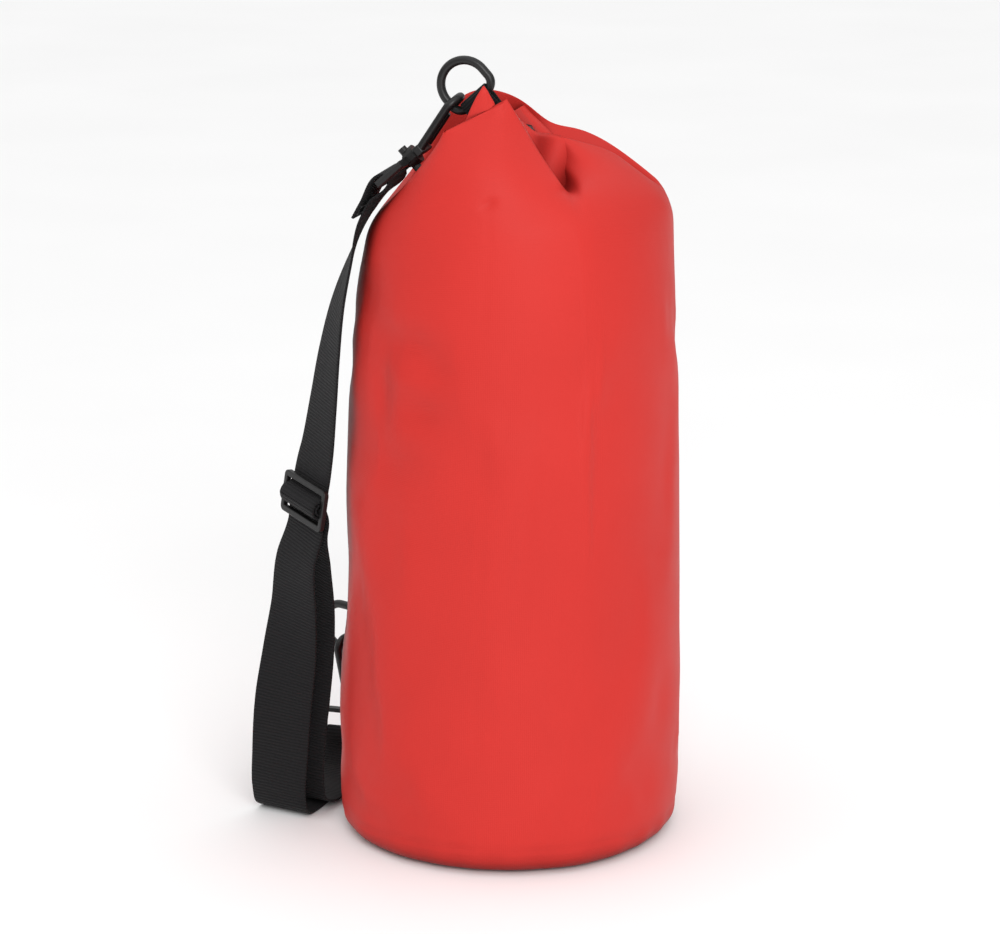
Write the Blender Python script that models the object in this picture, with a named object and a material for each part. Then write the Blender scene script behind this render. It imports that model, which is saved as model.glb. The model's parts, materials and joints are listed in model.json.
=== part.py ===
"""Roll-top dry bag, 20 litre class, with a clipped-on shoulder strap.

Frame: origin on the floor under the middle of the base, +Z up, -Y towards the near end of the
rolled closure, the strap on the -X side.  Everything is in metres.
"""

import math

import bmesh
import bpy
from mathutils import Matrix, Vector

# ---- driving dimensions -------------------------------------------------------------------
GAP = 0.0004                  # clearance kept between touching pieces
FABRIC = 0.0007               # coated fabric
BASE_EDGE = 0.013             # rounding between base and wall
WALL = [                      # height, radius of the filled bag
    (BASE_EDGE + GAP, 0.1090),
    (0.055, 0.1100),
    (0.130, 0.1070),
    (0.210, 0.1045),
    (0.290, 0.1025),
    (0.345, 0.1005),
]
BAG_LEAN = 0.012              # drift of the wall towards +X per metre of height
SHOULDER = 0.405              # height that the fabric reaches before it turns in
SHOULDER_TILT = 0.012         # the +X shoulder stands higher, the -X one lower
AROUND = 48                   # facets round the bag
TOP_ROWS = 6                  # facet rows between the wall and the closure

# rolled closure: a flat roll bent up into a U, its ends joined by the buckle
ROLL_LOW = Vector((0.009, -0.019, 0.3380))
ROLL_TILT = math.radians(8)    # the near end of the roll stands higher
ROLL_FLAT = 0.008             # half of the level middle
ROLL_BEND = 0.050             # radius of each corner of the U
ROLL_TURN = math.radians(95)
ROLL_HALF = 0.171             # half of the flattened width of the bag
ROLL_LEAN = math.radians(35)  # twist of the two ends towards -X
ROLL_LEAN_FROM = 0.090
ROLL_HALF_WIDTH = 0.019
ROLL_CORE = 0.0026            # half thickness of the innermost turn
ROLL_PLY = 0.0012             # two plies of fabric
ROLL_PITCH = 0.0016
ROLL_TURNS = 2.5
ROLL_TAPER_FROM = 0.143
ROLL_TAPER = 0.45             # width left at the very ends
ROLL_STATIONS = 30
MOUTH_HALF_WIDTH = 0.0208     # where the bag's fabric runs into the roll
MOUTH_END = 0.153
MOUTH_END_OUT = 0.0115        # the fabric lies outside the roll at its ends
STIFFENER = (0.020, 0.0011)   # width, thickness

# 25 mm side-release buckle that holds the ends of the roll together
BUCKLE_CENTRE = Vector((-0.004, 0.002, 0.434))
BUCKLE_WIDTH = 0.032
BUCKLE_THICK = 0.0105
BUCKLE_FEMALE = (-0.029, 0.006)
BUCKLE_MALE_END = 0.029
BUCKLE_WALL = 0.0018
BAR = 0.0036
BAR_THICK = 0.0044            # thickness of the frames that hold the webbing
PRONG_ROOT = 0.0125
TAB_WIDTH = 0.025
WEBBING = 0.0013

# D-ring with a swivel hook on it, in a frame of their own: z along the ring's straight bar,
# away from the hook, x from the bar to the ring's arc
RING_WIRE = 0.0027
RING_HALF = 0.0148            # bar centre to the middle of the ring's side
RING_DEPTH = 0.0264
RING_CORNER = 0.0065
HOOK_THICK = 0.0027
HOOK_OFFSET = 0.0080          # the hook eye stands beside the webbing on the bar
EYE_Z = -0.0150
EYE_HALF = 0.0076             # eye centre to the middle of its wire
HOOK_FOOT_Z = -0.0460
GATE_TOP_Z = -0.0215
GATE_FOOT_Z = -0.0430
GATE_HALF = 0.0021
STEM_RADIUS = 0.0027
COLLAR_RADIUS = 0.0062
COLLAR_Z = (-0.0580, -0.0500)
BASE_Z = -0.0740              # strap bar of the swivel base
BASE_BAR = 0.0022
BASE_THICK = 0.0048

UPPER_RING = Vector((-0.0095, -0.0380, 0.4700))
UPPER_AXIS = math.radians(42)  # the ring's bar rises towards +X
LOWER_RING = Vector((-0.1200, 0.0620, 0.0980))
LOWER_FACING = Vector((-0.888, 0.459, 0.0))   # the lower ring stands out from the wall
LOWER_BASE_TURN = math.radians(-65)           # its swivel base stands turned to the strap
TAB_CLEAR = 0.0006            # webbing round a ring's bar

# shoulder strap: 40 mm webbing and its tri-glide slider
STRAP_WIDTH = 0.040
STRAP_THICK = 0.0016
SLIDER_SIZE = (0.048, 0.027, 0.0036)
SLIDER_BAR = 0.0030
SLIDER_SLOT = 0.0096          # from the middle of the slider to the far edge of each slot
SLIDER_CENTRE = Vector((-0.1210, -0.0410, 0.2135))
SLIDER_ALONG = Vector((0.150, 0.0, 0.989))
SLIDER_TWIST = -41            # heading of the strap's width, degrees from +X
UPPER_SEWN_END = [(-0.0832, -0.0385, 0.3970), (-0.0775, -0.0380, 0.4075)]
UPPER_STRAND = [              # centre line and heading of the width
    ((-0.0790, -0.0400, 0.3970), -86),
    ((-0.0885, -0.0410, 0.3700), -74),
    ((-0.0975, -0.0410, 0.3400), -64),
    ((-0.1035, -0.0410, 0.3080), -56),
    ((-0.1080, -0.0405, 0.2760), -50),
    ((-0.1130, -0.0395, 0.2440), -44),
]
SLIDER_PASS = [                # across the slider, (depth, height) in the slider's own frame
    (0.0034, 0.0160), (0.0032, 0.0125), (0.0031, 0.0094), (0.0002, 0.0060), (-0.0042, 0.0044),
    (-0.0058, 0.0),
    (-0.0042, -0.0044), (0.0002, -0.0060), (0.0031, -0.0094), (0.0032, -0.0125), (0.0034, -0.0160)]
OUTER_STRAND = [
    ((-0.1275, -0.0400, 0.1740), -37),
    ((-0.1305, -0.0370, 0.1400), -28),
    ((-0.1345, -0.0350, 0.1090), -15),
    ((-0.1390, -0.0350, 0.0780), -8),
    ((-0.1420, -0.0350, 0.0410), -10),
    ((-0.1435, -0.0335, 0.0160), -14),
    ((-0.1430, -0.0300, 0.0047), -16),
    ((-0.1420, -0.0250, 0.0018), -17),
    ((-0.1410, -0.0190, 0.0011), -16),
    ((-0.1380, 0.0000, 0.0011), -12),
    ((-0.1320, 0.0300, 0.0011), -8),
    ((-0.1275, 0.0500, 0.0012), -5),
    ((-0.1256, 0.0585, 0.0024), -4),
    ((-0.1222, 0.0662, 0.0066), -3),
]
INNER_STRAND = [
    ((-0.1215, 0.0500, 0.0095), -3),
    ((-0.1240, 0.0350, 0.0052), -5),
    ((-0.1285, 0.0100, 0.0042), -10),
    ((-0.1325, -0.0080, 0.0045), -12),
    ((-0.1345, -0.0170, 0.0095), -15),
    ((-0.1345, -0.0215, 0.0220), -15),
    ((-0.1335, -0.0225, 0.0450), -15),
    ((-0.1300, -0.0230, 0.0780), -12),
    ((-0.1255, -0.0240, 0.1090), -18),
    ((-0.1215, -0.0265, 0.1400), -28),
    ((-0.1195, -0.0320, 0.1740), -38),
]
SEWN_RISE = [(0.0072, -0.0170), (0.0072, -0.0100), (0.0058, -0.0046), (0.0042, -0.0016)]
SEWN_TAIL = [(0.0024, -0.0043), (0.0040, -0.0076)]

PATCH_SPAN = (math.radians(227), math.radians(259))   # heading round the bag, from -Y through +X
PATCH_HEIGHT = (0.066, 0.130)
PATCH_THICK = 0.0010

RED = (0.73, 0.055, 0.048)
BLACK_WEB = (0.012, 0.012, 0.013)
BLACK_PLASTIC = (0.016, 0.016, 0.017)
GREY_STRIP = (0.30, 0.30, 0.31)

X_AXIS, Y_AXIS, Z_AXIS = Vector((1, 0, 0)), Vector((0, 1, 0)), Vector((0, 0, 1))


# ---- shared helpers -----------------------------------------------------------------------
def clear_scene():
    for obj in list(bpy.data.objects):
        bpy.data.objects.remove(obj)


def paint(name, colour, roughness, metallic=0.0):
    mat = bpy.data.materials.new(name)
    mat.use_nodes = True
    shader = mat.node_tree.nodes["Principled BSDF"]
    shader.inputs["Base Color"].default_value = (*colour, 1.0)
    shader.inputs["Roughness"].default_value = roughness
    shader.inputs["Metallic"].default_value = metallic
    return mat


def solid(name, verts, faces, look, pivot=(0, 0, 0), sharp=40):
    """Closed mesh object whose origin is at pivot; verts are world positions."""
    pivot = Vector(pivot)
    mesh = bpy.data.meshes.new(name)
    bm = bmesh.new()
    made = [bm.verts.new(Vector(v) - pivot) for v in verts]
    for face in faces:
        bm.faces.new([made[i] for i in face])
    bmesh.ops.recalc_face_normals(bm, faces=bm.faces)
    bm.to_mesh(mesh)
    bm.free()
    mesh.shade_smooth()
    mesh.set_sharp_from_angle(angle=math.radians(sharp))
    obj = bpy.data.objects.new(name, mesh)
    obj.location = pivot
    bpy.context.scene.collection.objects.link(obj)
    mesh.materials.append(paint(name, *look))
    return obj


def grid_faces(rows, columns, close_rows=False):
    """Quads between rows of a closed ring of columns points."""
    faces = []
    for j in range(rows if close_rows else rows - 1):
        for i in range(columns):
            k = (i + 1) % columns
            n = (j + 1) % rows
            faces.append((j * columns + i, j * columns + k, n * columns + k, n * columns + i))
    return faces


def sweep(name, frames, section, look, pivot=(0, 0, 0), scales=None, closed=False, sharp=40):
    """Carries a section (list of (u, v)) along frames (centre, u direction, v direction)."""
    verts = []
    for j, (centre, u_dir, v_dir) in enumerate(frames):
        su = scales[j] if scales else 1.0
        verts += [centre + u_dir * (u * su) + v_dir * v for u, v in section]
    count = len(section)
    faces = grid_faces(len(frames), count, closed)
    if not closed:
        faces.append(tuple(range(count)))
        faces.append(tuple(range(len(verts) - count, len(verts))))
    return solid(name, verts, faces, look, pivot, sharp)


def box_section(width, thick, bevel=0.0):
    w, t = width / 2, thick / 2
    if not bevel:
        return [(-w, -t), (w, -t), (w, t), (-w, t)]
    b = bevel
    return [(-w + b, -t), (w - b, -t), (w, -t + b), (w, t - b),
            (w - b, t), (-w + b, t), (-w, t - b), (-w, -t + b)]


def round_section(radius, sides=10):
    return [(radius * math.cos(2 * math.pi * i / sides), radius * math.sin(2 * math.pi * i / sides))
            for i in range(sides)]


def box(name, matrix, low, high, look, pivot=(0, 0, 0), bevel=0.0):
    """Box in a local frame, with its long edges bevelled when asked."""
    low, high = Vector(low), Vector(high)
    size = high - low
    section = box_section(size.x, size.y, bevel)
    mid = (low + high) / 2
    u_dir, v_dir = matrix.to_3x3() @ X_AXIS, matrix.to_3x3() @ Y_AXIS
    frames = [(matrix @ Vector((mid.x, mid.y, z)), u_dir, v_dir) for z in (low.z, high.z)]
    return sweep(name, frames, section, look, pivot)


def rod(name, start, end, radius, look, pivot=(0, 0, 0), sides=14):
    axis = (Vector(end) - Vector(start)).normalized()
    side = axis.orthogonal().normalized()
    other = axis.cross(side)
    frames = [(Vector(p), side, other) for p in (start, end)]
    return sweep(name, frames, round_section(radius, sides), look, pivot)


def join(main, *tools, cut=False):
    """Boolean union (or difference) of main with tools, which become construction guides."""
    for tool in tools:
        mod = main.modifiers.new("join", "BOOLEAN")
        mod.operation = "DIFFERENCE" if cut else "UNION"
        mod.solver = "EXACT"
        mod.object = tool
        tool.hide_render = True
        tool.display_type = "WIRE"
    return main


def smooth_step(value):
    value = min(1.0, max(0.0, value))
    return value * value * (3 - 2 * value)


def curve(points, knots, steps):
    """Points on a smooth curve through the given vectors, steps to each stretch; knots holds the
    distance along the curve of each vector."""
    gaps = [after - before for before, after in zip(knots, knots[1:])]
    secants = [(points[i + 1] - points[i]) / gap for i, gap in enumerate(gaps)]
    slopes = [secants[0]]
    for i in range(1, len(gaps)):
        slopes.append((secants[i - 1] * gaps[i] + secants[i] * gaps[i - 1]) / (gaps[i - 1] + gaps[i]))
    slopes.append(secants[-1])
    out = []
    for i, gap in enumerate(gaps):
        for k in range(steps):
            t = k / steps
            out.append(points[i] * (1 - 3 * t ** 2 + 2 * t ** 3)
                       + points[i + 1] * (3 * t ** 2 - 2 * t ** 3)
                       + slopes[i] * (gap * (t - 2 * t ** 2 + t ** 3))
                       + slopes[i + 1] * (gap * (t ** 3 - t ** 2)))
    return out + [points[-1]]


def ribbon(name, route, width, thick, look, steps=3, pivot=(0, 0, 0), across=1):
    """Flat webbing; route is a list of (centre, width direction), across the facets over its
    width."""
    points = [Vector(r[0]) for r in route]
    knots = [0.0]
    for before, after in zip(points, points[1:]):
        knots.append(knots[-1] + (after - before).length)
    centres = curve(points, knots, steps)
    widths = curve([Vector(r[1]) for r in route], knots, steps)
    frames = []
    for j, centre in enumerate(centres):
        ahead = centres[min(j + 1, len(centres) - 1)] - centres[max(j - 1, 0)]
        ahead.normalize()
        wide = widths[j] - ahead * widths[j].dot(ahead)
        wide.normalize()
        frames.append((centre, wide, ahead.cross(wide)))
    stops = [width * (k / across - 0.5) for k in range(across + 1)]
    section = [(u, -thick / 2) for u in stops] + [(u, thick / 2) for u in reversed(stops)]
    return sweep(name, frames, section, look, pivot, sharp=50)


# ---- bag ----------------------------------------------------------------------------------
def roll_frames(stations, limit):
    """Centre, width direction and inward normal along the roll, from -limit to +limit."""
    def angles(s):
        bend = min(max(abs(s) - ROLL_FLAT, 0.0) / ROLL_BEND, ROLL_TURN)
        span = (abs(s) - ROLL_LEAN_FROM) / (ROLL_HALF - ROLL_LEAN_FROM)
        return bend, ROLL_LEAN * smooth_step(span)

    def tangent(s):
        bend, lean = angles(s)
        sign = 1 if s >= 0 else -1
        slope = sign * bend - ROLL_TILT
        return Vector((-math.sin(lean) * math.sin(slope), math.cos(slope),
                       math.cos(lean) * math.sin(slope)))

    frames = []
    for k in range(stations + 1):
        s = -limit + 2 * limit * k / stations
        steps = max(1, round(abs(s) / 0.001))
        centre = ROLL_LOW.copy()
        for i in range(steps):
            centre += tangent(s * (i + 0.5) / steps) * (s / steps)
        lean = angles(s)[1]
        wide = Vector((math.cos(lean), 0, math.sin(lean)))
        frames.append((centre, wide, wide.cross(tangent(s)).normalized(), s))
    return frames


def mouth_ring():
    """Where the bag's fabric meets the roll, one point for each facet line round the bag."""
    side_count = AROUND // 2 - 3
    frames = roll_frames(side_count, MOUTH_END)
    out = []
    for side, along in ((1, frames), (-1, frames[::-1])):
        for centre, wide, inward, s in along:
            near_end = smooth_step((abs(s) - 0.75 * MOUTH_END) / (0.25 * MOUTH_END))
            out.append(centre + wide * (side * MOUTH_HALF_WIDTH) - inward * (MOUTH_END_OUT * near_end))
        centre, wide, inward, s = along[-1]
        for part in (1 / 3, -1 / 3):
            out.append(centre + wide * (side * part * MOUTH_HALF_WIDTH) - inward * MOUTH_END_OUT)
    return out


def wall_point(angle, height, radius):
    return Vector((radius * math.sin(angle) + BAG_LEAN * height, -radius * math.cos(angle), height))


def wall_radius(height):
    for (z0, r0), (z1, r1) in zip(WALL, WALL[1:]):
        if height <= z1:
            return r0 + (r1 - r0) * (height - z0) / (z1 - z0)
    return WALL[-1][1]


def body_tube():
    """Welded tube of coated fabric, open at the base and where it runs into the roll."""
    facet = 2 * math.pi / AROUND
    angles = [(i + 1.5) * facet for i in range(AROUND)]
    rings = [[wall_point(a, z, r) for a in angles] for z, r in WALL]
    mouth = mouth_ring()
    top_z, top_r = WALL[-1]
    for row in range(1, TOP_ROWS + 1):
        t = row / TOP_ROWS
        ring = []
        for a, target in zip(angles, mouth):
            start = wall_point(a, top_z, top_r)
            high = max(SHOULDER + SHOULDER_TILT * math.sin(a), target.z - 0.035)
            control = wall_point(a, high, top_r * 0.93)
            ring.append(start * (1 - t) ** 2 + control * (2 * t * (1 - t)) + target * t ** 2)
        rings.append(ring)
    verts = [p for ring in rings for p in ring]
    obj = solid("body_tube", verts, grid_faces(len(rings), AROUND), (RED, 0.5))
    # an open sheet has no inside, so the facets are turned outwards by the bottom row
    first = obj.data.polygons[0]
    if first.normal.dot(Vector((first.center.x, first.center.y, 0))) < 0:
        obj.data.flip_normals()
    shell = obj.modifiers.new("fabric", "SOLIDIFY")
    shell.thickness = FABRIC
    shell.offset = -1
    return obj


def base_disc():
    """Round base, turned up at its rim to meet the tube."""
    bottom_r = WALL[0][1]
    arc = 5
    outer = [(bottom_r - BASE_EDGE + BASE_EDGE * math.sin(a), BASE_EDGE - BASE_EDGE * math.cos(a))
             for a in [k * math.pi / 2 / arc for k in range(arc + 1)]]
    inner_r = BASE_EDGE - FABRIC
    inner = [(bottom_r - BASE_EDGE + inner_r * math.sin(a), BASE_EDGE - inner_r * math.cos(a))
             for a in [k * math.pi / 2 / arc for k in range(arc, -1, -1)]]
    profile = outer + inner
    verts = []
    for r, z in profile:
        verts += [(r * math.cos(2 * math.pi * i / AROUND), r * math.sin(2 * math.pi * i / AROUND), z)
                  for i in range(AROUND)]
    faces = grid_faces(len(profile), AROUND)
    faces.append(tuple(range(AROUND)))
    faces.append(tuple(range(len(verts) - AROUND, len(verts))))
    return solid("base_disc", verts, faces, (RED, 0.5))


def seam_tape():
    """Welded back seam cover up the +Y side."""
    half = math.radians(6.5)
    outside = 0.0012
    rows = []
    for z, r in WALL[1:]:
        lift = 0.0005 + GAP
        row = []
        for radius, step in ((r + lift, 1), (r + lift + outside, -1)):
            for k in range(3)[::step]:
                row.append(wall_point(math.pi - half + half * k, z, radius))
        rows.append(row)
    verts = [p for row in rows for p in row]
    count = len(rows[0])
    faces = grid_faces(len(rows), count)
    faces.append(tuple(range(count)))
    faces.append(tuple(range(len(verts) - count, len(verts))))
    return solid("back_seam_tape", verts, faces, (RED, 0.45))


# ---- rolled closure -----------------------------------------------------------------------
def spiral_section():
    """Flattened spiral of doubled fabric round the stiffeners."""
    step = math.radians(45)
    count = int(ROLL_TURNS * 2 * math.pi / step)
    outside = ROLL_CORE + ROLL_PLY / 2 + ROLL_PITCH * ROLL_TURNS
    reach = ROLL_HALF_WIDTH - outside

    def line(offset):
        pts = []
        for k in range(count + 1):
            angle = k * step - math.pi / 2
            radius = ROLL_CORE + ROLL_PLY / 2 + ROLL_PITCH * k * step / (2 * math.pi) + offset
            shift = reach if math.cos(angle) > -1e-6 else -reach
            if abs(math.cos(angle)) < 1e-6 and 0 < k < count:
                turning_right = math.cos(angle + step / 2) > 0
                pts.append(((-reach if turning_right else reach), radius * math.sin(angle)))
                pts.append(((reach if turning_right else -reach), radius * math.sin(angle)))
                continue
            pts.append((shift + radius * math.cos(angle), radius * math.sin(angle)))
        return pts
    return line(ROLL_PLY / 2) + line(-ROLL_PLY / 2)[::-1]


def taper_at(s):
    return 1 - (1 - ROLL_TAPER) * smooth_step((abs(s) - ROLL_TAPER_FROM) / (ROLL_HALF - ROLL_TAPER_FROM))


def rolled_closure():
    frames = roll_frames(ROLL_STATIONS, ROLL_HALF)
    scales = [taper_at(f[3]) for f in frames]
    return sweep("rolled_closure", [f[:3] for f in frames], spiral_section(), (RED, 0.5),
                 scales=scales, sharp=50)


def stiffeners():
    """Two plastic strips in the hem, side by side in the core of the roll."""
    frames = roll_frames(ROLL_STATIONS, ROLL_TAPER_FROM)
    width, thick = STIFFENER
    for name, side in (("hem_stiffener_front", -1), ("hem_stiffener_back", 1)):
        shifted = [(c + n * (side * (thick / 2 + GAP / 2)), w, n) for c, w, n, s in frames]
        sweep(name, shifted, box_section(width, thick), (GREY_STRIP, 0.5))


# ---- buckle -------------------------------------------------------------------------------
def buckle_matrix():
    """Local x across the buckle, y through it, z from the socket to the plug."""
    lean = ROLL_LEAN
    x_dir = Vector((math.cos(lean), 0, math.sin(lean)))
    z_dir = Y_AXIS
    y_dir = z_dir.cross(x_dir)
    rot = Matrix((x_dir, y_dir, z_dir)).transposed().to_4x4()
    return Matrix.Translation(BUCKLE_CENTRE) @ rot


def buckle():
    frame = buckle_matrix()
    look = (BLACK_PLASTIC, 0.45)
    w, t, wall = BUCKLE_WIDTH / 2, BUCKLE_THICK / 2, BUCKLE_WALL
    start, end = BUCKLE_FEMALE
    slot_end = start + 0.0105

    female = box("buckle_socket", frame, (-w, -t, slot_end - 0.001), (w, t, end), look, bevel=0.0022)
    female_bar = box("socket_bar", frame, (-w + 0.001, -BAR_THICK / 2, start),
                     (w - 0.001, BAR_THICK / 2, slot_end), look, bevel=0.0012)
    join(female, female_bar)
    hollow = box("socket_hollow", frame, (-w + wall, -t + wall, slot_end + 0.002),
                 (w - wall, t - wall, end + 0.01), look)
    slot = box("socket_slot", frame, (-TAB_WIDTH / 2 - 0.0006, -t - 0.001, start + BAR),
               (TAB_WIDTH / 2 + 0.0006, t + 0.001, slot_end), look)
    windows = box("socket_windows", frame, (-w - 0.001, -0.0034, slot_end + 0.004),
                  (w + 0.001, 0.0034, end - 0.0035), look)
    join(female, hollow, slot, windows, cut=True)

    male = box("buckle_plug", frame, (-w, -t * 0.8, end + GAP), (w, t * 0.8, PRONG_ROOT + 0.006), look,
               bevel=0.0020)
    male_bar = box("plug_bar", frame, (-w + 0.001, -BAR_THICK / 2, PRONG_ROOT + 0.004),
                   (w - 0.001, BAR_THICK / 2, BUCKLE_MALE_END), look, bevel=0.0012)
    guide = box("plug_guide", frame, (-0.0034, -0.0026, slot_end + 0.004), (0.0034, 0.0026, end + 0.002),
                look, bevel=0.0008)
    join(male, male_bar, guide)
    male_slot = box("plug_slot", frame, (-TAB_WIDTH / 2 - 0.0006, -t, PRONG_ROOT + 0.0052),
                    (TAB_WIDTH / 2 + 0.0006, t, BUCKLE_MALE_END - BAR), look)
    relief = [box("prong_relief_%d" % k, frame, (k * 0.0118 - 0.0030, -t, end - 0.001),
                  (k * 0.0118 + 0.0030, t, PRONG_ROOT + 0.0010), look) for k in (-1, 1)]
    join(male, male_slot, *relief, cut=True)

    for name, side in (("buckle_prong_left", -1), ("buckle_prong_right", 1)):
        pivot = frame @ Vector((side * 0.0118, 0, PRONG_ROOT - 0.0012))
        arm = [(side * 0.0102, PRONG_ROOT), (side * 0.0134, PRONG_ROOT),
               (side * 0.0130, -0.0005), (side * 0.0158, -0.0022),
               (side * 0.0152, -0.0090), (side * 0.0118, -0.0125), (side * 0.0096, -0.0110)]
        verts = [frame @ Vector((x, y, z)) for y in (-0.0030, 0.0030) for x, z in arm]
        n = len(arm)
        faces = [tuple(range(n)), tuple(range(n, 2 * n))]
        faces += [(i, (i + 1) % n, n + (i + 1) % n, n + i) for i in range(n)]
        solid(name, verts, faces, look, pivot)


def tab_route(bar, away, side_dir, radius, reach, spread):
    """Side view of webbing folded round a bar: up one side, round it, and back."""
    out = [bar + away * reach + side_dir * spread, bar + away * (0.45 * reach) + side_dir * radius * 0.8]
    for k in range(5):
        angle = math.pi * k / 4
        out.append(bar + side_dir * (radius * math.cos(angle)) - away * (radius * math.sin(angle)))
    out += [bar + away * (0.45 * reach) - side_dir * radius * 0.8,
            bar + away * reach - side_dir * spread]
    return out


def buckle_tabs():
    """Short webbing loops from the ends of the roll to the two halves of the buckle."""
    frame = buckle_matrix()
    wide = frame.to_3x3() @ X_AXIS
    through = frame.to_3x3() @ Y_AXIS
    for name, bar_z, sign in (("buckle_tab_near", BUCKLE_FEMALE[0] + BAR / 2, -1),
                              ("buckle_tab_far", BUCKLE_MALE_END - BAR / 2, 1)):
        bar = frame @ Vector((0, 0, bar_z))
        radius = math.hypot(BAR / 2, BAR_THICK / 2) + WEBBING / 2 + GAP
        away = (Y_AXIS * sign).normalized()
        route = [(p, wide) for p in tab_route(bar, away, through, radius, 0.011, WEBBING)]
        ribbon(name, route, TAB_WIDTH, WEBBING, (BLACK_WEB, 0.8), steps=2)


# ---- D-ring and hook ----------------------------------------------------------------------
def axis_frame(origin, z_dir, x_dir):
    z_dir = z_dir.normalized()
    x_dir = (x_dir - z_dir * x_dir.dot(z_dir)).normalized()
    y_dir = z_dir.cross(x_dir)
    rot = Matrix((x_dir, y_dir, z_dir)).transposed().to_4x4()
    return Matrix.Translation(origin) @ rot


def tube_on(name, frame, points, radius, look, closed, pivot, plane_normal, sides=10):
    """Round wire through local points that lie in the plane with the given normal."""
    frames = []
    count = len(points)
    normal = frame.to_3x3() @ plane_normal
    for i, p in enumerate(points):
        before = points[i - 1] if closed or i else p
        after = points[(i + 1) % count] if closed or i < count - 1 else p
        ahead = (frame.to_3x3() @ (Vector(after) - Vector(before))).normalized()
        frames.append((frame @ Vector(p), normal, ahead.cross(normal)))
    return sweep(name, frames, round_section(radius, sides), look, pivot, closed=closed)


def d_ring(name, frame):
    """Straight bar on the local z axis, arc out to +x."""
    pts = []
    corner = RING_CORNER
    for k in range(4):
        a = math.radians(90 * k / 3)
        pts.append((corner - corner * math.cos(a), 0, RING_HALF - corner + corner * math.sin(a)))
    flank = RING_DEPTH - RING_HALF
    for k in range(0, 13):
        a = math.radians(90 - 180 * k / 12)
        pts.append((flank + RING_HALF * math.cos(a), 0, RING_HALF * math.sin(a)))
    for k in range(4):
        a = math.radians(90 * k / 3)
        pts.append((corner - corner * math.sin(a), 0, -RING_HALF + corner - corner * math.cos(a)))
    pts += [(0, 0, -0.003), (0, 0, 0.003)]
    pivot = frame.translation
    return tube_on(name, frame, pts, RING_WIRE, (BLACK_PLASTIC, 0.4), True, pivot, Y_AXIS)


def ring_tab(name, frame, reach):
    """Webbing wrapped round the ring's bar, both plies running to -x."""
    rot = frame.to_3x3()
    radius = RING_WIRE + TAB_CLEAR + WEBBING / 2
    route = tab_route(frame.translation, -(rot @ X_AXIS), rot @ Y_AXIS, radius, reach,
                      WEBBING / 2 + GAP)
    return ribbon(name, [(p, rot @ Z_AXIS) for p in route], 0.020, WEBBING, (BLACK_WEB, 0.8), steps=2)


def hook(prefix, frame, base_turn):
    """Swivel snap hook: body with its stem, sprung gate, and swivel base with the strap bar."""
    look = (BLACK_PLASTIC, 0.38)
    rot = frame.to_3x3()
    body_pivot = frame @ Vector((0, 0, COLLAR_Z[1]))

    def at(y, z):
        lift = HOOK_OFFSET * smooth_step((z - HOOK_FOOT_Z) / (EYE_Z - HOOK_FOOT_Z - 0.002))
        return (lift, y, z)

    path = [at(EYE_HALF, HOOK_FOOT_Z + 0.001), at(EYE_HALF, -0.036), at(EYE_HALF, -0.026)]
    path += [at(EYE_HALF * math.cos(a), EYE_Z + EYE_HALF * math.sin(a))
             for a in [math.radians(20 * k) for k in range(0, 10)]]
    path += [at(-EYE_HALF, EYE_Z - 0.002)]
    body = tube_on(prefix + "_hook_body", frame, path, HOOK_THICK, look, False, body_pivot, X_AXIS, 12)
    block = box(prefix + "_hook_foot", frame, (-0.0032, -0.0104, HOOK_FOOT_Z - 0.0035),
                (0.0032, 0.0104, HOOK_FOOT_Z + 0.0022), look, bevel=0.0012)
    stem = rod(prefix + "_hook_stem", frame @ Vector((0, 0, HOOK_FOOT_Z - 0.001)),
               frame @ Vector((0, 0, COLLAR_Z[0] - 0.0010)), STEM_RADIUS, look)
    head = rod(prefix + "_hook_head", frame @ Vector((0, 0, COLLAR_Z[0] - 0.0005)),
               frame @ Vector((0, 0, COLLAR_Z[0] - 0.0022)), 0.0042, look)
    join(body, block, stem, head)

    gate_pivot = Vector((0, -EYE_HALF, GATE_FOOT_Z))
    foot = Vector(at(-EYE_HALF, GATE_FOOT_Z))
    top = Vector(at(-EYE_HALF, GATE_TOP_Z))
    gate = sweep(prefix + "_hook_gate",
                 [(frame @ p, rot @ X_AXIS, rot @ Y_AXIS) for p in (foot, (foot + top) / 2, top)],
                 box_section(0.0046, 2 * GATE_HALF, 0.0010), look, frame @ gate_pivot)

    frame = base_frame(frame, base_turn)
    base = rod(prefix + "_swivel_base", frame @ Vector((0, 0, COLLAR_Z[1] - GAP - 0.0003)),
               frame @ Vector((0, 0, COLLAR_Z[0])), COLLAR_RADIUS, look, sides=18)
    half = STRAP_WIDTH / 2 + 0.0034
    low = BASE_Z - BASE_BAR
    plate = box(prefix + "_base_plate", frame, (-BASE_THICK / 2, -half, low),
                (BASE_THICK / 2, half, COLLAR_Z[0] + 0.0020), look, bevel=0.0012)
    lugs = rod(prefix + "_base_lugs", frame @ Vector((-0.0085, 0, COLLAR_Z[0] + 0.0015)),
               frame @ Vector((0.0085, 0, COLLAR_Z[0] + 0.0015)), 0.0028, look)
    join(base, plate, lugs)
    slot = box(prefix + "_base_slot", frame, (-0.01, -STRAP_WIDTH / 2 - 0.0006, BASE_Z + BASE_BAR),
               (0.01, STRAP_WIDTH / 2 + 0.0006, COLLAR_Z[0] - 0.0008), look)
    bore = rod(prefix + "_base_bore", frame @ Vector((0, 0, COLLAR_Z[1] + 0.01)),
               frame @ Vector((0, 0, COLLAR_Z[0] - 0.006)), STEM_RADIUS + GAP, look)
    recess = rod(prefix + "_base_recess", frame @ Vector((0, 0, COLLAR_Z[0] - 0.0001)),
                 frame @ Vector((0, 0, COLLAR_Z[0] - 0.006)), 0.0046, look)
    join(base, slot, bore, recess, cut=True)
    return body, gate, base


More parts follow.
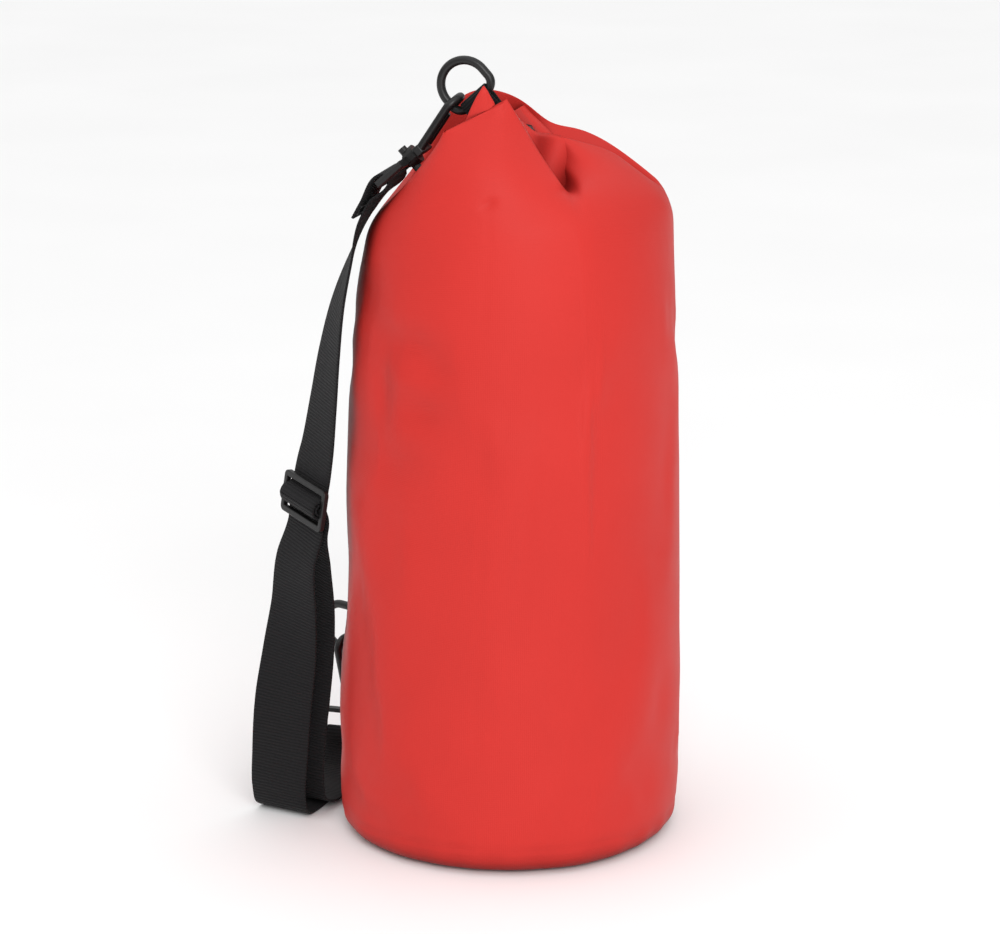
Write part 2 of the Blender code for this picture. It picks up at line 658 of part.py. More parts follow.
def upper_frame():
    axis = Vector((math.cos(UPPER_AXIS), 0, math.sin(UPPER_AXIS)))
    return axis_frame(UPPER_RING, axis, Vector((-math.sin(UPPER_AXIS), 0, math.cos(UPPER_AXIS))))


def lower_frame():
    return axis_frame(LOWER_RING, Z_AXIS, LOWER_FACING)


def base_frame(frame, turn):
    return frame @ Matrix.Rotation(turn, 4, "Z")


# ---- strap --------------------------------------------------------------------------------
def width_at(degrees):
    a = math.radians(degrees)
    return Vector((math.cos(a), math.sin(a), 0))


def slider_frame():
    """Local x across the strap, y to its back, z up along it."""
    return axis_frame(SLIDER_CENTRE, SLIDER_ALONG, width_at(SLIDER_TWIST))


def round_bar(bar, across, down, radius, wide):
    """Half a turn of webbing over a bar, from -across, over -down, to +across."""
    return [(bar - across * (radius * math.cos(a)) - down * (radius * math.sin(a)), wide)
            for a in [math.pi * k / 4 for k in range(5)]]


def strap():
    """One length of webbing: sewn round the upper hook's base, through the slider, down to the
    floor, round the lower hook's base, and back up to the slider's middle bar, where it is sewn."""
    up = base_frame(upper_frame(), 0)
    bar = up @ Vector((0, 0, BASE_Z))
    across, down = up.to_3x3() @ X_AXIS, -(up.to_3x3() @ Z_AXIS)
    radius = math.hypot(BASE_BAR, BASE_THICK / 2) + STRAP_THICK / 2 + 0.0006
    edge_on = width_at(-90)
    route = [(Vector(p), edge_on) for p in UPPER_SEWN_END]
    route += [(p, edge_on) for p, _ in round_bar(bar, -across, down, radius, edge_on)]
    route += [(bar + down * 0.014 - across * 0.0042, edge_on)]
    route += [(Vector(p), width_at(a)) for p, a in UPPER_STRAND]

    glide = slider_frame()
    cross = glide.to_3x3() @ X_AXIS
    route += [(glide @ Vector((0, y, z)), cross) for y, z in SLIDER_PASS]
    route += [(Vector(p), width_at(a)) for p, a in OUTER_STRAND]

    low = base_frame(lower_frame(), LOWER_BASE_TURN)
    low_bar = low @ Vector((0, 0, BASE_Z))
    wide = -(low.to_3x3() @ Y_AXIS)
    side = low.to_3x3() @ X_AXIS
    route.append((low_bar + side * radius - Z_AXIS * 0.0055, wide))
    route += round_bar(low_bar, -side, -Z_AXIS, radius, wide)
    route.append((low_bar - side * radius - Z_AXIS * 0.0055, wide))
    route += [(Vector(p), width_at(a)) for p, a in INNER_STRAND]

    route += [(glide @ Vector((0, y, z)), cross) for y, z in SEWN_RISE]
    loop = math.hypot(SLIDER_BAR / 2, SLIDER_SIZE[2] / 2) + STRAP_THICK / 2 + GAP
    route += [(glide @ Vector((0, loop * math.cos(a), loop * math.sin(a))), cross)
              for a in [math.radians(45 * k) for k in range(7)]]
    route += [(glide @ Vector((0, y, z)), cross) for y, z in SEWN_TAIL]
    ribbon("shoulder_strap", route, STRAP_WIDTH, STRAP_THICK, (BLACK_WEB, 0.8), steps=2, across=4)


def slider():
    frame = slider_frame()
    look = (BLACK_PLASTIC, 0.42)
    long, tall, thick = (v / 2 for v in SLIDER_SIZE)
    body = box("strap_slider", frame, (-long, -thick, -tall), (long, thick, tall), look,
               pivot=frame.translation, bevel=0.0012)
    inner = STRAP_WIDTH / 2 + 0.0007
    slots = []
    for k in (-1, 1):
        low, high = sorted((k * SLIDER_BAR / 2, k * SLIDER_SLOT))
        slots.append(box("slider_slot_%d" % k, frame, (-inner, -thick - 0.001, low),
                         (inner, thick + 0.001, high), look))
    join(body, *slots, cut=True)


def lower_patch():
    """Welded patch on the wall that the lower ring's webbing is sewn to."""
    start, end = PATCH_SPAN
    low, high = PATCH_HEIGHT
    rows = []
    for z in [low + (high - low) * k / 3 for k in range(4)]:
        radius = wall_radius(z) + 2 * GAP
        row = [wall_point(start + (end - start) * k / 4, z, radius) for k in range(5)]
        row += [wall_point(end - (end - start) * k / 4, z, radius + PATCH_THICK) for k in range(5)]
        rows.append(row)
    verts = [p for row in rows for p in row]
    faces = grid_faces(len(rows), len(rows[0]))
    faces.append(tuple(range(len(rows[0]))))
    faces.append(tuple(range(len(verts) - len(rows[0]), len(verts))))
    return solid("lower_patch", verts, faces, (RED, 0.45))


def main():
    clear_scene()
    body_tube()
    base_disc()
    seam_tape()
    rolled_closure()
    stiffeners()
    buckle()
    buckle_tabs()
    for prefix, frame, reach, turn in (("upper", upper_frame(), 0.018, 0.0),
                                       ("lower", lower_frame(), 0.0232, LOWER_BASE_TURN)):
        d_ring(prefix + "_d_ring", frame)
        ring_tab(prefix + "_ring_tab", frame, reach)
        hook(prefix, frame, turn)
    lower_patch()
    slider()
    strap()


main()
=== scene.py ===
"""Looks of the roll-top dry bag: the filled bag's folded skin, its rolled closure, the webbing and
the hardware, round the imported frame.

The frame's origin is on the floor under the middle of the base, +Z up, -Y towards the near end of
the rolled closure, the shoulder strap on the -X side.  Everything is in metres unless a name says
mm.
"""

import json
import math

import bmesh
import bpy
import numpy as np
from mathutils import Matrix, Vector


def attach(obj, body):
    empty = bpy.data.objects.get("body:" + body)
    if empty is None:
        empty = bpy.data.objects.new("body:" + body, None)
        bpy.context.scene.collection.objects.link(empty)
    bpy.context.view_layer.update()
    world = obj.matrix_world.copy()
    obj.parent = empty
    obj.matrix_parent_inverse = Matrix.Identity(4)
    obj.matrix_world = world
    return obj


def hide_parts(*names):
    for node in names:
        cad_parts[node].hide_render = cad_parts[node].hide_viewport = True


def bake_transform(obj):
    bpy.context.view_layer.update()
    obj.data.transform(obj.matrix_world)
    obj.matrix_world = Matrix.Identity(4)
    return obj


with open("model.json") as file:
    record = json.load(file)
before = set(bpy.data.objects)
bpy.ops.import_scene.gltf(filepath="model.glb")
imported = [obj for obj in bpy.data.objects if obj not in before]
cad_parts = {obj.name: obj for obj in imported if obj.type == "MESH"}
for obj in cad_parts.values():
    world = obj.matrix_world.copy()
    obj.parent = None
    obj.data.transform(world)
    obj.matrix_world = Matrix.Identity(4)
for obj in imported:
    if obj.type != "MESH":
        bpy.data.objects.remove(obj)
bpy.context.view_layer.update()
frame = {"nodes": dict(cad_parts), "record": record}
JOINT_PLACES = {j["name"]: j["pos_m"] for j in frame["record"]["behaviour"]["joints"]}

MM = 0.001
GAP = 0.0004
X_AXIS, Y_AXIS, Z_AXIS = Vector((1, 0, 0)), Vector((0, 1, 0)), Vector((0, 0, 1))

# ---- camera -------------------------------------------------------------------------------
CAMERA_HEADING = math.radians(14)
CAMERA_DISTANCE = 2.1
CAMERA_HEIGHT = 0.785
CAMERA_PITCH = math.radians(14.74)
CAMERA_TURN = math.radians(0.133)     # the bag stands a little right of the middle
CAMERA_LENS = 124.5
SKY_AT_HORIZON = 0.24
SKY_OVERHEAD = 1.40
KEY_POWER = 31

# ---- bag ----------------------------------------------------------------------------------
WALL = [(0.0134, 0.1090), (0.055, 0.1100), (0.130, 0.1070), (0.210, 0.1045), (0.290, 0.1025),
        (0.345, 0.1005)]              # height, radius
BAG_LEAN = 0.012
BASE_EDGE = 0.013
BASE_RINGS = (0.03, 0.062, 0.085)
UP = 9                                # facet rows from the wall to the rim
INSIDE = (0.22, 0.6, 1.0)             # rows from the rim down to the roll
SIM_LEVEL = 2                         # subdivisions before the cloth simulation

# Headings round the wall from -Y through +X, the line of the fabric from there up to its rim in
# mm, and how sharp the rim is.  The front panel's edge is a fold (K) that stands over a valley (V).
COLUMNS = [
    (-28, [(-38, -86, 385), (-33, -82, 420), (-22, -69, 455)], 1.0),
    (-14, [(-16, -93, 390), (-14, -85, 428), (-12, -66, 460)], 1.0),
    (0, [(4, -95, 394), (0, -85, 432), (-4, -63, 464)], 1.0),
    (14, [(26, -92, 396), (14, -82, 433), (3, -60, 468)], 1.0),
    (27, [(46, -85, 396), (29, -76, 430), (19, -68, 448), (8, -58, 471)], 1.0),
    (38, [(62, -76, 394), (54, -66, 419), (45, -60, 428), (32, -55, 443), (23, -52, 456),
          (13, -56, 474)], 1.0),
    (39.5, [(64, -75, 394), (56, -64, 416), (45, -34, 415), (33, -8, 419), (22, 5, 427),
            (15, 4, 440), (10, -8, 453)], 1.0),
    (42.5, [(68, -71, 394), (60, -58, 418), (47, -33, 423), (34, -19, 429), (20, -12, 446)], 1.0),
    (46, [(71, -67, 393), (63, -53, 419), (52, -33, 427), (40, -22, 432), (25, -15, 447)], 1.0),
    (58, [(83, -50, 391), (74, -37, 418), (60, -27, 431), (37, -24, 448)], 1.0),
    (74, [(94, -25, 389), (87, -18, 411), (72, -10, 428), (50, -12, 442)], 1.0),
    (90, [(99, 3, 385), (97, 5, 404), (84, 4, 420), (65, 2, 436)], 1.0),
    (102, [(100, 22, 381), (98, 22, 399), (90, 20, 411), (74, 16, 424)], 1.0),
    (112, [(97, 38, 378), (96, 38, 395), (93, 34, 405), (84, 29, 413)], 1.0),
    (119, [(93, 48, 377), (92, 47, 394), (91, 43, 404), (90, 39, 407)], 1.0),
    (127, [(85, 60, 376), (85, 58, 396), (84, 56, 407), (82, 53, 411)], 0.9),
    (137, [(74, 72, 377), (74, 69, 400), (73, 66, 411), (70, 62, 417)], 0.9),
    (149, [(56, 84, 379), (56, 79, 404), (55, 74, 418), (50, 66, 430)], 0.9),
    (160, [(36, 92, 381), (36, 85, 408), (34, 77, 426), (29, 63, 440)], 0.9),
    (170, [(18, 95, 383), (18, 88, 410), (17, 75, 429), (13, 56, 440)], 0.9),
    (181, [(0, 95, 385), (0, 87, 420), (-2, 70, 446), (0, 48, 457)], 0.9),
    (193, [(-20, 92, 384), (-20, 84, 420), (-19, 64, 448), (-16, 40, 465)], 0.9),
    (206, [(-40, 85, 380), (-38, 76, 414), (-36, 56, 444), (-30, 28, 467)], 0.9),
    (222, [(-60, 70, 375), (-56, 62, 406), (-50, 44, 436), (-42, 20, 458)], 0.9),
    (240, [(-78, 48, 370), (-73, 42, 398), (-64, 28, 420), (-52, 14, 434)], 0.9),
    (260, [(-90, 16, 366), (-86, 12, 386), (-76, 4, 402), (-62, 2, 414)], 0.9),
    (280, [(-90, -16, 366), (-86, -18, 382), (-78, -22, 394), (-66, -24, 403)], 0.9),
    (298, [(-80, -46, 370), (-74, -46, 392), (-64, -45, 406), (-52, -44, 415)], 0.9),
    (312, [(-68, -64, 378), (-60, -60, 404), (-48, -54, 422), (-38, -52, 431)], 0.9),
    (323, [(-54, -76, 382), (-46, -72, 412), (-37, -66, 434), (-29, -62, 444)], 1.0),
]
FOLD_COLUMN = 5                       # K, and the next one is V
FOLD_FOOT = 3                         # facet rows below the fold's foot
POINTED_COLUMNS = (0, 5)              # both ends of the front panel's top edge

# soft dents in the wall: heading in degrees, height, half width and half height, depth
DENTS = [
    (-26, 0.328, 0.024, 0.010, 0.0058),
    (-15, 0.314, 0.016, 0.007, 0.0036),
    (-40, 0.300, 0.011, 0.024, 0.0052),
    (-20, 0.288, 0.015, 0.007, 0.0040),
    (-28, 0.308, 0.014, 0.007, -0.0018),
    (-36, 0.252, 0.024, 0.012, 0.0036),
    (-24, 0.215, 0.018, 0.009, 0.0018),
    (-52, 0.350, 0.018, 0.020, 0.0034),
    (62, 0.050, 0.020, 0.012, 0.0016),
    (75, 0.095, 0.010, 0.018, 0.0010),
    (-50, 0.032, 0.016, 0.010, 0.0018),
    (-36, 0.024, 0.012, 0.008, 0.0014),
    (150, 0.180, 0.030, 0.050, 0.0020),
    (205, 0.300, 0.030, 0.040, 0.0020),
    (120, 0.300, 0.020, 0.050, 0.0016),
]
PRESS_LINE = math.radians(3.2)        # heading of the faint vertical crease left by packing
KINKS = [(0.416, 0.0018), (0.352, 0.0009), (0.200, 0.0010), (0.085, 0.0009)]

# rolled closure: the CAD's line, ended earlier at both ends
ROLL_LOW = Vector((0.009, -0.019, 0.3380))
ROLL_TILT = math.radians(8)
ROLL_FLAT = 0.008
ROLL_BEND = 0.050
ROLL_TURN = math.radians(95)
ROLL_HALF = 0.171
ROLL_LEAN = math.radians(35)
ROLL_LEAN_FROM = 0.090
ROLL_HALF_WIDTH = 0.019
ROLL_CORE = 0.0026                    # half thickness of the innermost turn
ROLL_PLY = 0.0012                     # two plies of fabric
ROLL_PITCH = 0.0016
ROLL_TURNS = 2.5
ROLL_FAR = 0.160
ROLL_TAPER_FROM = 0.125
ROLL_TAPER = 0.45                     # width left at the far end
ROLL_STATIONS = 90
ROLL_NEAR = -0.122                    # the near end's fin takes over here
FIN_SPINE = [(5.0, -60.5, 424), (1.5, -58.0, 440), (-1.2, -58.0, 454), (-2.2, -59.0, 467),
             (-1.0, -60.2, 476.5), (0.0, -60.3, 481.5)]
FIN_HALVES = [14.0, 15.0, 13.6, 9.6, 4.2, 0.5]
FIN_THICKS = [5.0, 4.4, 3.6, 2.8, 1.8, 0.5]
MOUTH_HALF_WIDTH = 0.0208
MOUTH_END = 0.153
MOUTH_END_OUT = 0.0115

# D-rings, hooks, webbing and slider, sized as in the CAD
RING_WIRE = 0.0027
RING_HALF = 0.0148
RING_DEPTH = 0.0264
RING_CORNER = 0.0065
TAB_CLEAR = 0.0006
WEBBING = 0.0013
UPPER_RING = Vector(JOINT_PLACES["upper_ring_swing"])
UPPER_AXIS = math.radians(42)
LOWER_RING = Vector(JOINT_PLACES["lower_ring_swing"])
LOWER_FACING = Vector((-0.888, 0.459, 0.0))
LOWER_BASE_TURN = math.radians(-65)
HOOK_THICK = 0.0027
HOOK_OFFSET = 0.0080
EYE_Z = -0.0150
EYE_HALF = 0.0076
HOOK_FOOT_Z = -0.0460
GATE_TOP_Z = -0.0215
GATE_FOOT_Z = -0.0430
COLLAR_Z = (-0.0580, -0.0500)
BASE_Z = -0.0740
BASE_BAR = 0.0022
BASE_THICK = 0.0048
STRAP_WIDTH = 0.040
STRAP_THICK = 0.0016
SLIDER_SIZE = (0.048, 0.027, 0.0036)
SLIDER_BAR = 0.0030
SLIDER_SLOT = 0.0096
SLIDER_CENTRE = Vector(JOINT_PLACES["slider_slide"])
SLIDER_ALONG = Vector((0.150, 0.0, 0.989))
SLIDER_TWIST = -41
UPPER_SEWN_END = [(-0.0832, -0.0385, 0.3970), (-0.0775, -0.0380, 0.4075)]
UPPER_STRAND = [                      # centre line and heading of the width
    ((-0.0790, -0.0400, 0.3970), -86),
    ((-0.0885, -0.0410, 0.3700), -74),
    ((-0.0975, -0.0410, 0.3400), -64),
    ((-0.1035, -0.0410, 0.3080), -56),
    ((-0.1080, -0.0405, 0.2760), -50),
    ((-0.1130, -0.0395, 0.2440), -44),
]
SLIDER_PASS = [                       # (depth, height) in the slider's own frame
    (0.0034, 0.0160), (0.0032, 0.0125), (0.0031, 0.0094), (0.0002, 0.0060), (-0.0042, 0.0044),
    (-0.0058, 0.0),
    (-0.0042, -0.0044), (0.0002, -0.0060), (0.0031, -0.0094), (0.0032, -0.0125), (0.0034, -0.0160)]
OUTER_STRAND = [
    ((-0.1275, -0.0400, 0.1740), -37),
    ((-0.1305, -0.0370, 0.1400), -28),
    ((-0.1345, -0.0350, 0.1090), -15),
    ((-0.1390, -0.0350, 0.0780), -8),
    ((-0.1420, -0.0350, 0.0410), -10),
    ((-0.1435, -0.0335, 0.0160), -14),
    ((-0.1430, -0.0300, 0.0047), -16),
    ((-0.1420, -0.0250, 0.0018), -17),
    ((-0.1410, -0.0190, 0.0011), -16),
    ((-0.1380, 0.0000, 0.0011), -12),
    ((-0.1320, 0.0300, 0.0011), -8),
    ((-0.1275, 0.0500, 0.0012), -5),
    ((-0.1256, 0.0585, 0.0024), -4),
    ((-0.1222, 0.0662, 0.0066), -3),
]
INNER_STRAND = [
    ((-0.1215, 0.0500, 0.0095), -3),
    ((-0.1240, 0.0350, 0.0052), -5),
    ((-0.1285, 0.0100, 0.0042), -10),
    ((-0.1325, -0.0080, 0.0045), -12),
    ((-0.1345, -0.0170, 0.0095), -15),
    ((-0.1345, -0.0215, 0.0220), -15),
    ((-0.1335, -0.0225, 0.0450), -15),
    ((-0.1300, -0.0230, 0.0780), -12),
    ((-0.1255, -0.0240, 0.1090), -18),
    ((-0.1215, -0.0265, 0.1400), -28),
    ((-0.1195, -0.0320, 0.1740), -38),
]
SEWN_RISE = [(0.0072, -0.0170), (0.0072, -0.0100), (0.0058, -0.0046), (0.0042, -0.0016)]
SEWN_TAIL = [(0.0024, -0.0043), (0.0040, -0.0076)]

RED = (0.560, 0.032, 0.026)
BLACK_WEB = (0.0045, 0.0040, 0.0047)
BLACK_PLASTIC = (0.0075, 0.0072, 0.0074)
GREY_STRIP = (0.30, 0.30, 0.31)


# ---- geometry helpers ---------------------------------------------------------------------
def smooth_step(value):
    value = min(1.0, max(0.0, value))
    return value * value * (3 - 2 * value)


def knots_of(points):
    knots = [0.0]
    for before, after in zip(points, points[1:]):
        knots.append(knots[-1] + (after - before).length)
    return knots


def curve_at(points, knots, where):
    """Point on the smooth curve through points, at the distance where along it."""
    last = len(points) - 1
    i = max(k for k in range(last) if knots[k] <= where + 1e-9)
    gaps = [after - before for before, after in zip(knots, knots[1:])]

    def slope(k):
        if k == 0:
            return (points[1] - points[0]) / gaps[0]
        if k == last:
            return (points[last] - points[last - 1]) / gaps[-1]
        before = (points[k] - points[k - 1]) / gaps[k - 1]
        after = (points[k + 1] - points[k]) / gaps[k]
        return (before * gaps[k] + after * gaps[k - 1]) / (gaps[k - 1] + gaps[k])

    t = (where - knots[i]) / gaps[i]
    return (points[i] * (1 - 3 * t ** 2 + 2 * t ** 3) + points[i + 1] * (3 * t ** 2 - 2 * t ** 3)
            + slope(i) * (gaps[i] * (t - 2 * t ** 2 + t ** 3))
            + slope(i + 1) * (gaps[i] * (t ** 3 - t ** 2)))


def resample(points, steps):
    """Points evenly spaced along the smooth curve through the given ones."""
    points = [Vector(p) for p in points]
    knots = knots_of(points)
    return [curve_at(points, knots, knots[-1] * k / steps) for k in range(steps + 1)]


def new_object(name, mesh):
    obj = bpy.data.objects.new(name, mesh)
    bpy.context.scene.collection.objects.link(obj)
    return obj


def finish_mesh(name, bm, material, sharp=None):
    """Object from a bmesh, shaded smooth, with edges sharper than that many degrees kept hard."""
    bmesh.ops.recalc_face_normals(bm, faces=bm.faces)
    mesh = bpy.data.meshes.new(name)
    bm.to_mesh(mesh)
    bm.free()
    mesh.shade_smooth()
    if sharp:
        mesh.set_sharp_from_angle(angle=math.radians(sharp))
    mesh.materials.append(material)
    return new_object(name, mesh)


def sweep(name, frames, section, material, closed=False, scales=None, sharp=None):
    """Section (list of (u, v)) carried along frames (centre, u direction, v direction), with a UV
    map in metres: across the section and along the way."""
    bm = bmesh.new()
    uv = bm.loops.layers.uv.new("cloth")
    count, rows = len(section), len(frames)
    along = [0.0]
    for before, after in zip(frames, frames[1:]):
        along.append(along[-1] + (after[0] - before[0]).length)
    around = [0.0]
    for i in range(count):
        a, b = section[i], section[(i + 1) % count]
        around.append(around[-1] + math.hypot(b[0] - a[0], b[1] - a[1]))
    rings = []
    for j, (centre, u_dir, v_dir) in enumerate(frames):
        k = scales[j] if scales else 1.0
        rings.append([bm.verts.new(centre + u_dir * (u * k) + v_dir * v) for u, v in section])
    for j in range(rows if closed else rows - 1):
        n = (j + 1) % rows
        ahead = along[j] + 0.002 if n == 0 else along[n]
        for i in range(count):
            m = (i + 1) % count
            face = bm.faces.new((rings[j][i], rings[j][m], rings[n][m], rings[n][i]))
            corners = ((around[i], along[j]), (around[i + 1], along[j]), (around[i + 1], ahead),
                       (around[i], ahead))
            for loop, corner in zip(face.loops, corners):
                loop[uv].uv = corner
    if not closed:
        bm.faces.new(rings[0])
        bm.faces.new(rings[-1])
    return finish_mesh(name, bm, material, sharp)


def round_section(radius, sides):
    return [(radius * math.cos(2 * math.pi * i / sides), radius * math.sin(2 * math.pi * i / sides))
            for i in range(sides)]


def webbing_section(width, thick, across=10):
    """Flat woven band with rounded, slightly thicker selvedges."""
    w, t = width / 2, thick / 2
    edge = t * 0.9
    stops = [-w + edge + (2 * w - 2 * edge) * k / across for k in range(across + 1)]
    top = [(u, t) for u in reversed(stops)]
    bottom = [(u, -t) for u in stops]
    return bottom + [(w - edge * 0.3, -t * 0.7), (w, 0), (w - edge * 0.3, t * 0.7)] \
        + top + [(-w + edge * 0.3, t * 0.7), (-w, 0), (-w + edge * 0.3, -t * 0.7)]


def ribbon(name, route, width, thick, material, spacing=0.0025, across=10):
    """Flat webbing; route is a list of (centre, width direction)."""
    centres, wides = [Vector(r[0]) for r in route], [Vector(r[1]) for r in route]
    knots = knots_of(centres)
    steps = max(4, round(knots[-1] / spacing))
    frames = []
    for j in range(steps + 1):
        where = knots[-1] * j / steps
        near = min(max(where, 0.0005), knots[-1] - 0.0005)
        ahead = curve_at(centres, knots, near + 0.0005) - curve_at(centres, knots, near - 0.0005)
        ahead.normalize()
        wide = curve_at(wides, knots, where)
        wide = (wide - ahead * wide.dot(ahead)).normalized()
        frames.append((curve_at(centres, knots, where), wide, ahead.cross(wide)))
    obj = sweep(name, frames, webbing_section(width, thick, across), material, sharp=60)
    return obj, frames


def bevel(obj, width, segments=3, angle=35):
    mod = obj.modifiers.new("edges", "BEVEL")
    mod.width = width
    mod.segments = segments
    mod.limit_method = "ANGLE"
    mod.angle_limit = math.radians(angle)
    return obj


def apply_modifiers(obj):
    """Replaces obj's mesh by what its modifiers make of it."""
    depsgraph = bpy.context.evaluated_depsgraph_get()
    mesh = bpy.data.meshes.new_from_object(obj.evaluated_get(depsgraph))
    obj.modifiers.clear()
    obj.data = mesh
    return obj


def axis_frame(origin, z_dir, x_dir):
    z_dir = z_dir.normalized()
    x_dir = (x_dir - z_dir * x_dir.dot(z_dir)).normalized()
    rot = Matrix((x_dir, z_dir.cross(x_dir), z_dir)).transposed().to_4x4()
    return Matrix.Translation(origin) @ rot


def width_at(degrees):
    a = math.radians(degrees)
    return Vector((math.cos(a), math.sin(a), 0))


# ---- materials ----------------------------------------------------------------------------
class Nodes:
    """A Principled material under construction."""

    def __init__(self, name, colour, roughness):
        self.material = bpy.data.materials.new(name)
        self.material.use_nodes = True
        self.tree = self.material.node_tree
        self.shader = self.tree.nodes["Principled BSDF"]
        self.shader.inputs["Base Color"].default_value = (*colour, 1)
        self.shader.inputs["Roughness"].default_value = roughness

    def add(self, kind, **values):
        node = self.tree.nodes.new(kind)
        for key, value in values.items():
            setattr(node, key, value)
        return node

    def link(self, source, target):
        self.tree.links.new(source, target)

    def coordinates(self, which):
        return self.add("ShaderNodeTexCoord").outputs[which]

    def noise(self, scale, detail=3.0, source=None, roughness=0.5):
        node = self.add("ShaderNodeTexNoise")
        node.inputs["Scale"].default_value = scale
        node.inputs["Detail"].default_value = detail
        node.inputs["Roughness"].default_value = roughness
        self.link(source or self.coordinates("Object"), node.inputs["Vector"])
        return node.outputs["Fac"]

    def wave(self, source, period, direction, distortion=0.0):
        """Waves of that period along X or Y of the source."""
        node = self.add("ShaderNodeTexWave", wave_type="BANDS", bands_direction=direction)
        node.inputs["Scale"].default_value = 2 * math.pi / (20 * period)
        node.inputs["Distortion"].default_value = distortion
        node.inputs["Detail"].default_value = 2.0
        node.inputs["Detail Scale"].default_value = 0.4
        self.link(source, node.inputs["Vector"])
        return node.outputs["Fac"]

    def maths(self, operation, first, second):
        node = self.add("ShaderNodeMath", operation=operation)
        for socket, value in zip(node.inputs, (first, second)):
            if isinstance(value, (int, float)):
                socket.default_value = value
            else:
                self.link(value, socket)
        return node.outputs[0]

    def colour_between(self, factor, dark, light, low=0.3, high=0.7, painted_fold_shade=None):
        """Colour from a ramp; the last argument, (reach, darkest), adds painted shade: an ambient
        occlusion node darkens the colour inside folds and creases.
        """
        node = self.add("ShaderNodeValToRGB")
        node.color_ramp.elements[0].position = low
        node.color_ramp.elements[0].color = (*dark, 1)
        node.color_ramp.elements[1].position = high
        node.color_ramp.elements[1].color = (*light, 1)
        self.link(factor, node.inputs["Fac"])
        colour = node.outputs["Color"]
        if painted_fold_shade:
            # painted shade: ambient occlusion scales the base colour down in folds and creases, as
            # far as the darkest factor
            fold_occlusion = self.add("ShaderNodeAmbientOcclusion", samples=8)
            fold_occlusion.inputs["Distance"].default_value = painted_fold_shade[0]
            depth = self.add("ShaderNodeMapRange")
            depth.inputs["From Min"].default_value = 0.25
            depth.inputs["From Max"].default_value = 0.85
            depth.inputs["To Min"].default_value = painted_fold_shade[1]
            depth.inputs["To Max"].default_value = 1.0
            self.link(fold_occlusion.outputs["AO"], depth.inputs["Value"])
            shaded_colour = self.add("ShaderNodeVectorMath", operation="SCALE")
            self.link(colour, shaded_colour.inputs[0])
            self.link(depth.outputs["Result"], shaded_colour.inputs["Scale"])
            colour = shaded_colour.outputs[0]
        self.link(colour, self.shader.inputs["Base Color"])

    def roughness_between(self, factor, low, high):
        node = self.add("ShaderNodeMapRange")
        node.inputs["To Min"].default_value = low
        node.inputs["To Max"].default_value = high
        self.link(factor, node.inputs["Value"])
        self.link(node.outputs["Result"], self.shader.inputs["Roughness"])

    def bumps(self, *layers):
        """Stacks bump layers, each (height, distance, strength)."""
        normal = None
        for height, distance, strength in layers:
            node = self.add("ShaderNodeBump")
            node.inputs["Distance"].default_value = distance
            node.inputs["Strength"].default_value = strength
            self.link(height, node.inputs["Height"])
            if normal:
                self.link(normal, node.inputs["Normal"])
            normal = node.outputs["Normal"]
        self.link(normal, self.shader.inputs["Normal"])


def shade(colour, factor):
    return tuple(min(1.0, c * factor) for c in colour)


def coated_fabric(name, has_uv=True):
    """Matt red coated fabric: its scrim prints faintly through the coating."""
    n = Nodes(name, RED, 0.48)
    n.shader.inputs["Specular IOR Level"].default_value = 0.13
    cloth = n.coordinates("UV") if has_uv else n.coordinates("Object")
    broad = n.noise(9.0, 3.0)
    # painted shade in the fabric's folds: ambient occlusion within 32 mm darkens the colour down to
    # half
    n.colour_between(broad, shade(RED, 0.955), shade(RED, 1.03), painted_fold_shade=(0.032, 0.50))
    n.roughness_between(n.noise(38.0, 4.0), 0.42, 0.56)
    scrim = n.maths("ADD", n.wave(cloth, 0.0011, "X", 0.3), n.wave(cloth, 0.0011, "Y", 0.3))
    n.bumps((n.noise(22.0, 2.0), 0.0012, 0.22), (n.noise(900.0, 2.0), 0.00012, 0.35),
            (scrim, 0.00007, 0.35))
    return n.material


def webbing(name, period=0.0021):
    """Black ribbed polyester webbing; the map runs across (X) and along (Y) the band."""
    n = Nodes(name, BLACK_WEB, 0.72)
    n.shader.inputs["Sheen Weight"].default_value = 0.03
    n.shader.inputs["Sheen Roughness"].default_value = 0.6
    n.shader.inputs["Specular IOR Level"].default_value = 0.2
    cloth = n.coordinates("UV")
    ribs = n.wave(cloth, period, "Y", 1.2)
    yarns = n.wave(cloth, 0.0010, "X", 0.5)
    fuzz = n.noise(1400.0, 2.0)
    n.colour_between(ribs, shade(BLACK_WEB, 0.55), shade(BLACK_WEB, 1.75), 0.15, 0.9)
    n.roughness_between(fuzz, 0.62, 0.86)
    n.bumps((ribs, 0.00045, 0.85), (yarns, 0.00012, 0.5), (fuzz, 0.00008, 0.4))
    return n.material


def plastic(name, colour=BLACK_PLASTIC, low=0.30, high=0.44):
    """Moulded acetal: satin, faintly pebbled, with dull handling marks."""
    n = Nodes(name, colour, 0.36)
    n.shader.inputs["Specular IOR Level"].default_value = 0.4
    marks = n.noise(260.0, 5.0, roughness=0.65)
    n.colour_between(n.noise(120.0, 3.0), shade(colour, 0.85), shade(colour, 1.3))
    n.roughness_between(marks, low, high)
    n.bumps((n.noise(1800.0, 2.0), 0.00003, 0.4), (marks, 0.00006, 0.25))
    return n.material


def thread(name):
    n = Nodes(name, shade(BLACK_WEB, 2.2), 0.6)
    n.shader.inputs["Sheen Weight"].default_value = 0.2
    twist = n.wave(n.coordinates("Object"), 0.0005, "X", 2.0)
    n.colour_between(twist, shade(BLACK_WEB, 1.6), shade(BLACK_WEB, 3.2))
    n.bumps((twist, 0.00006, 0.5))
    return n.material


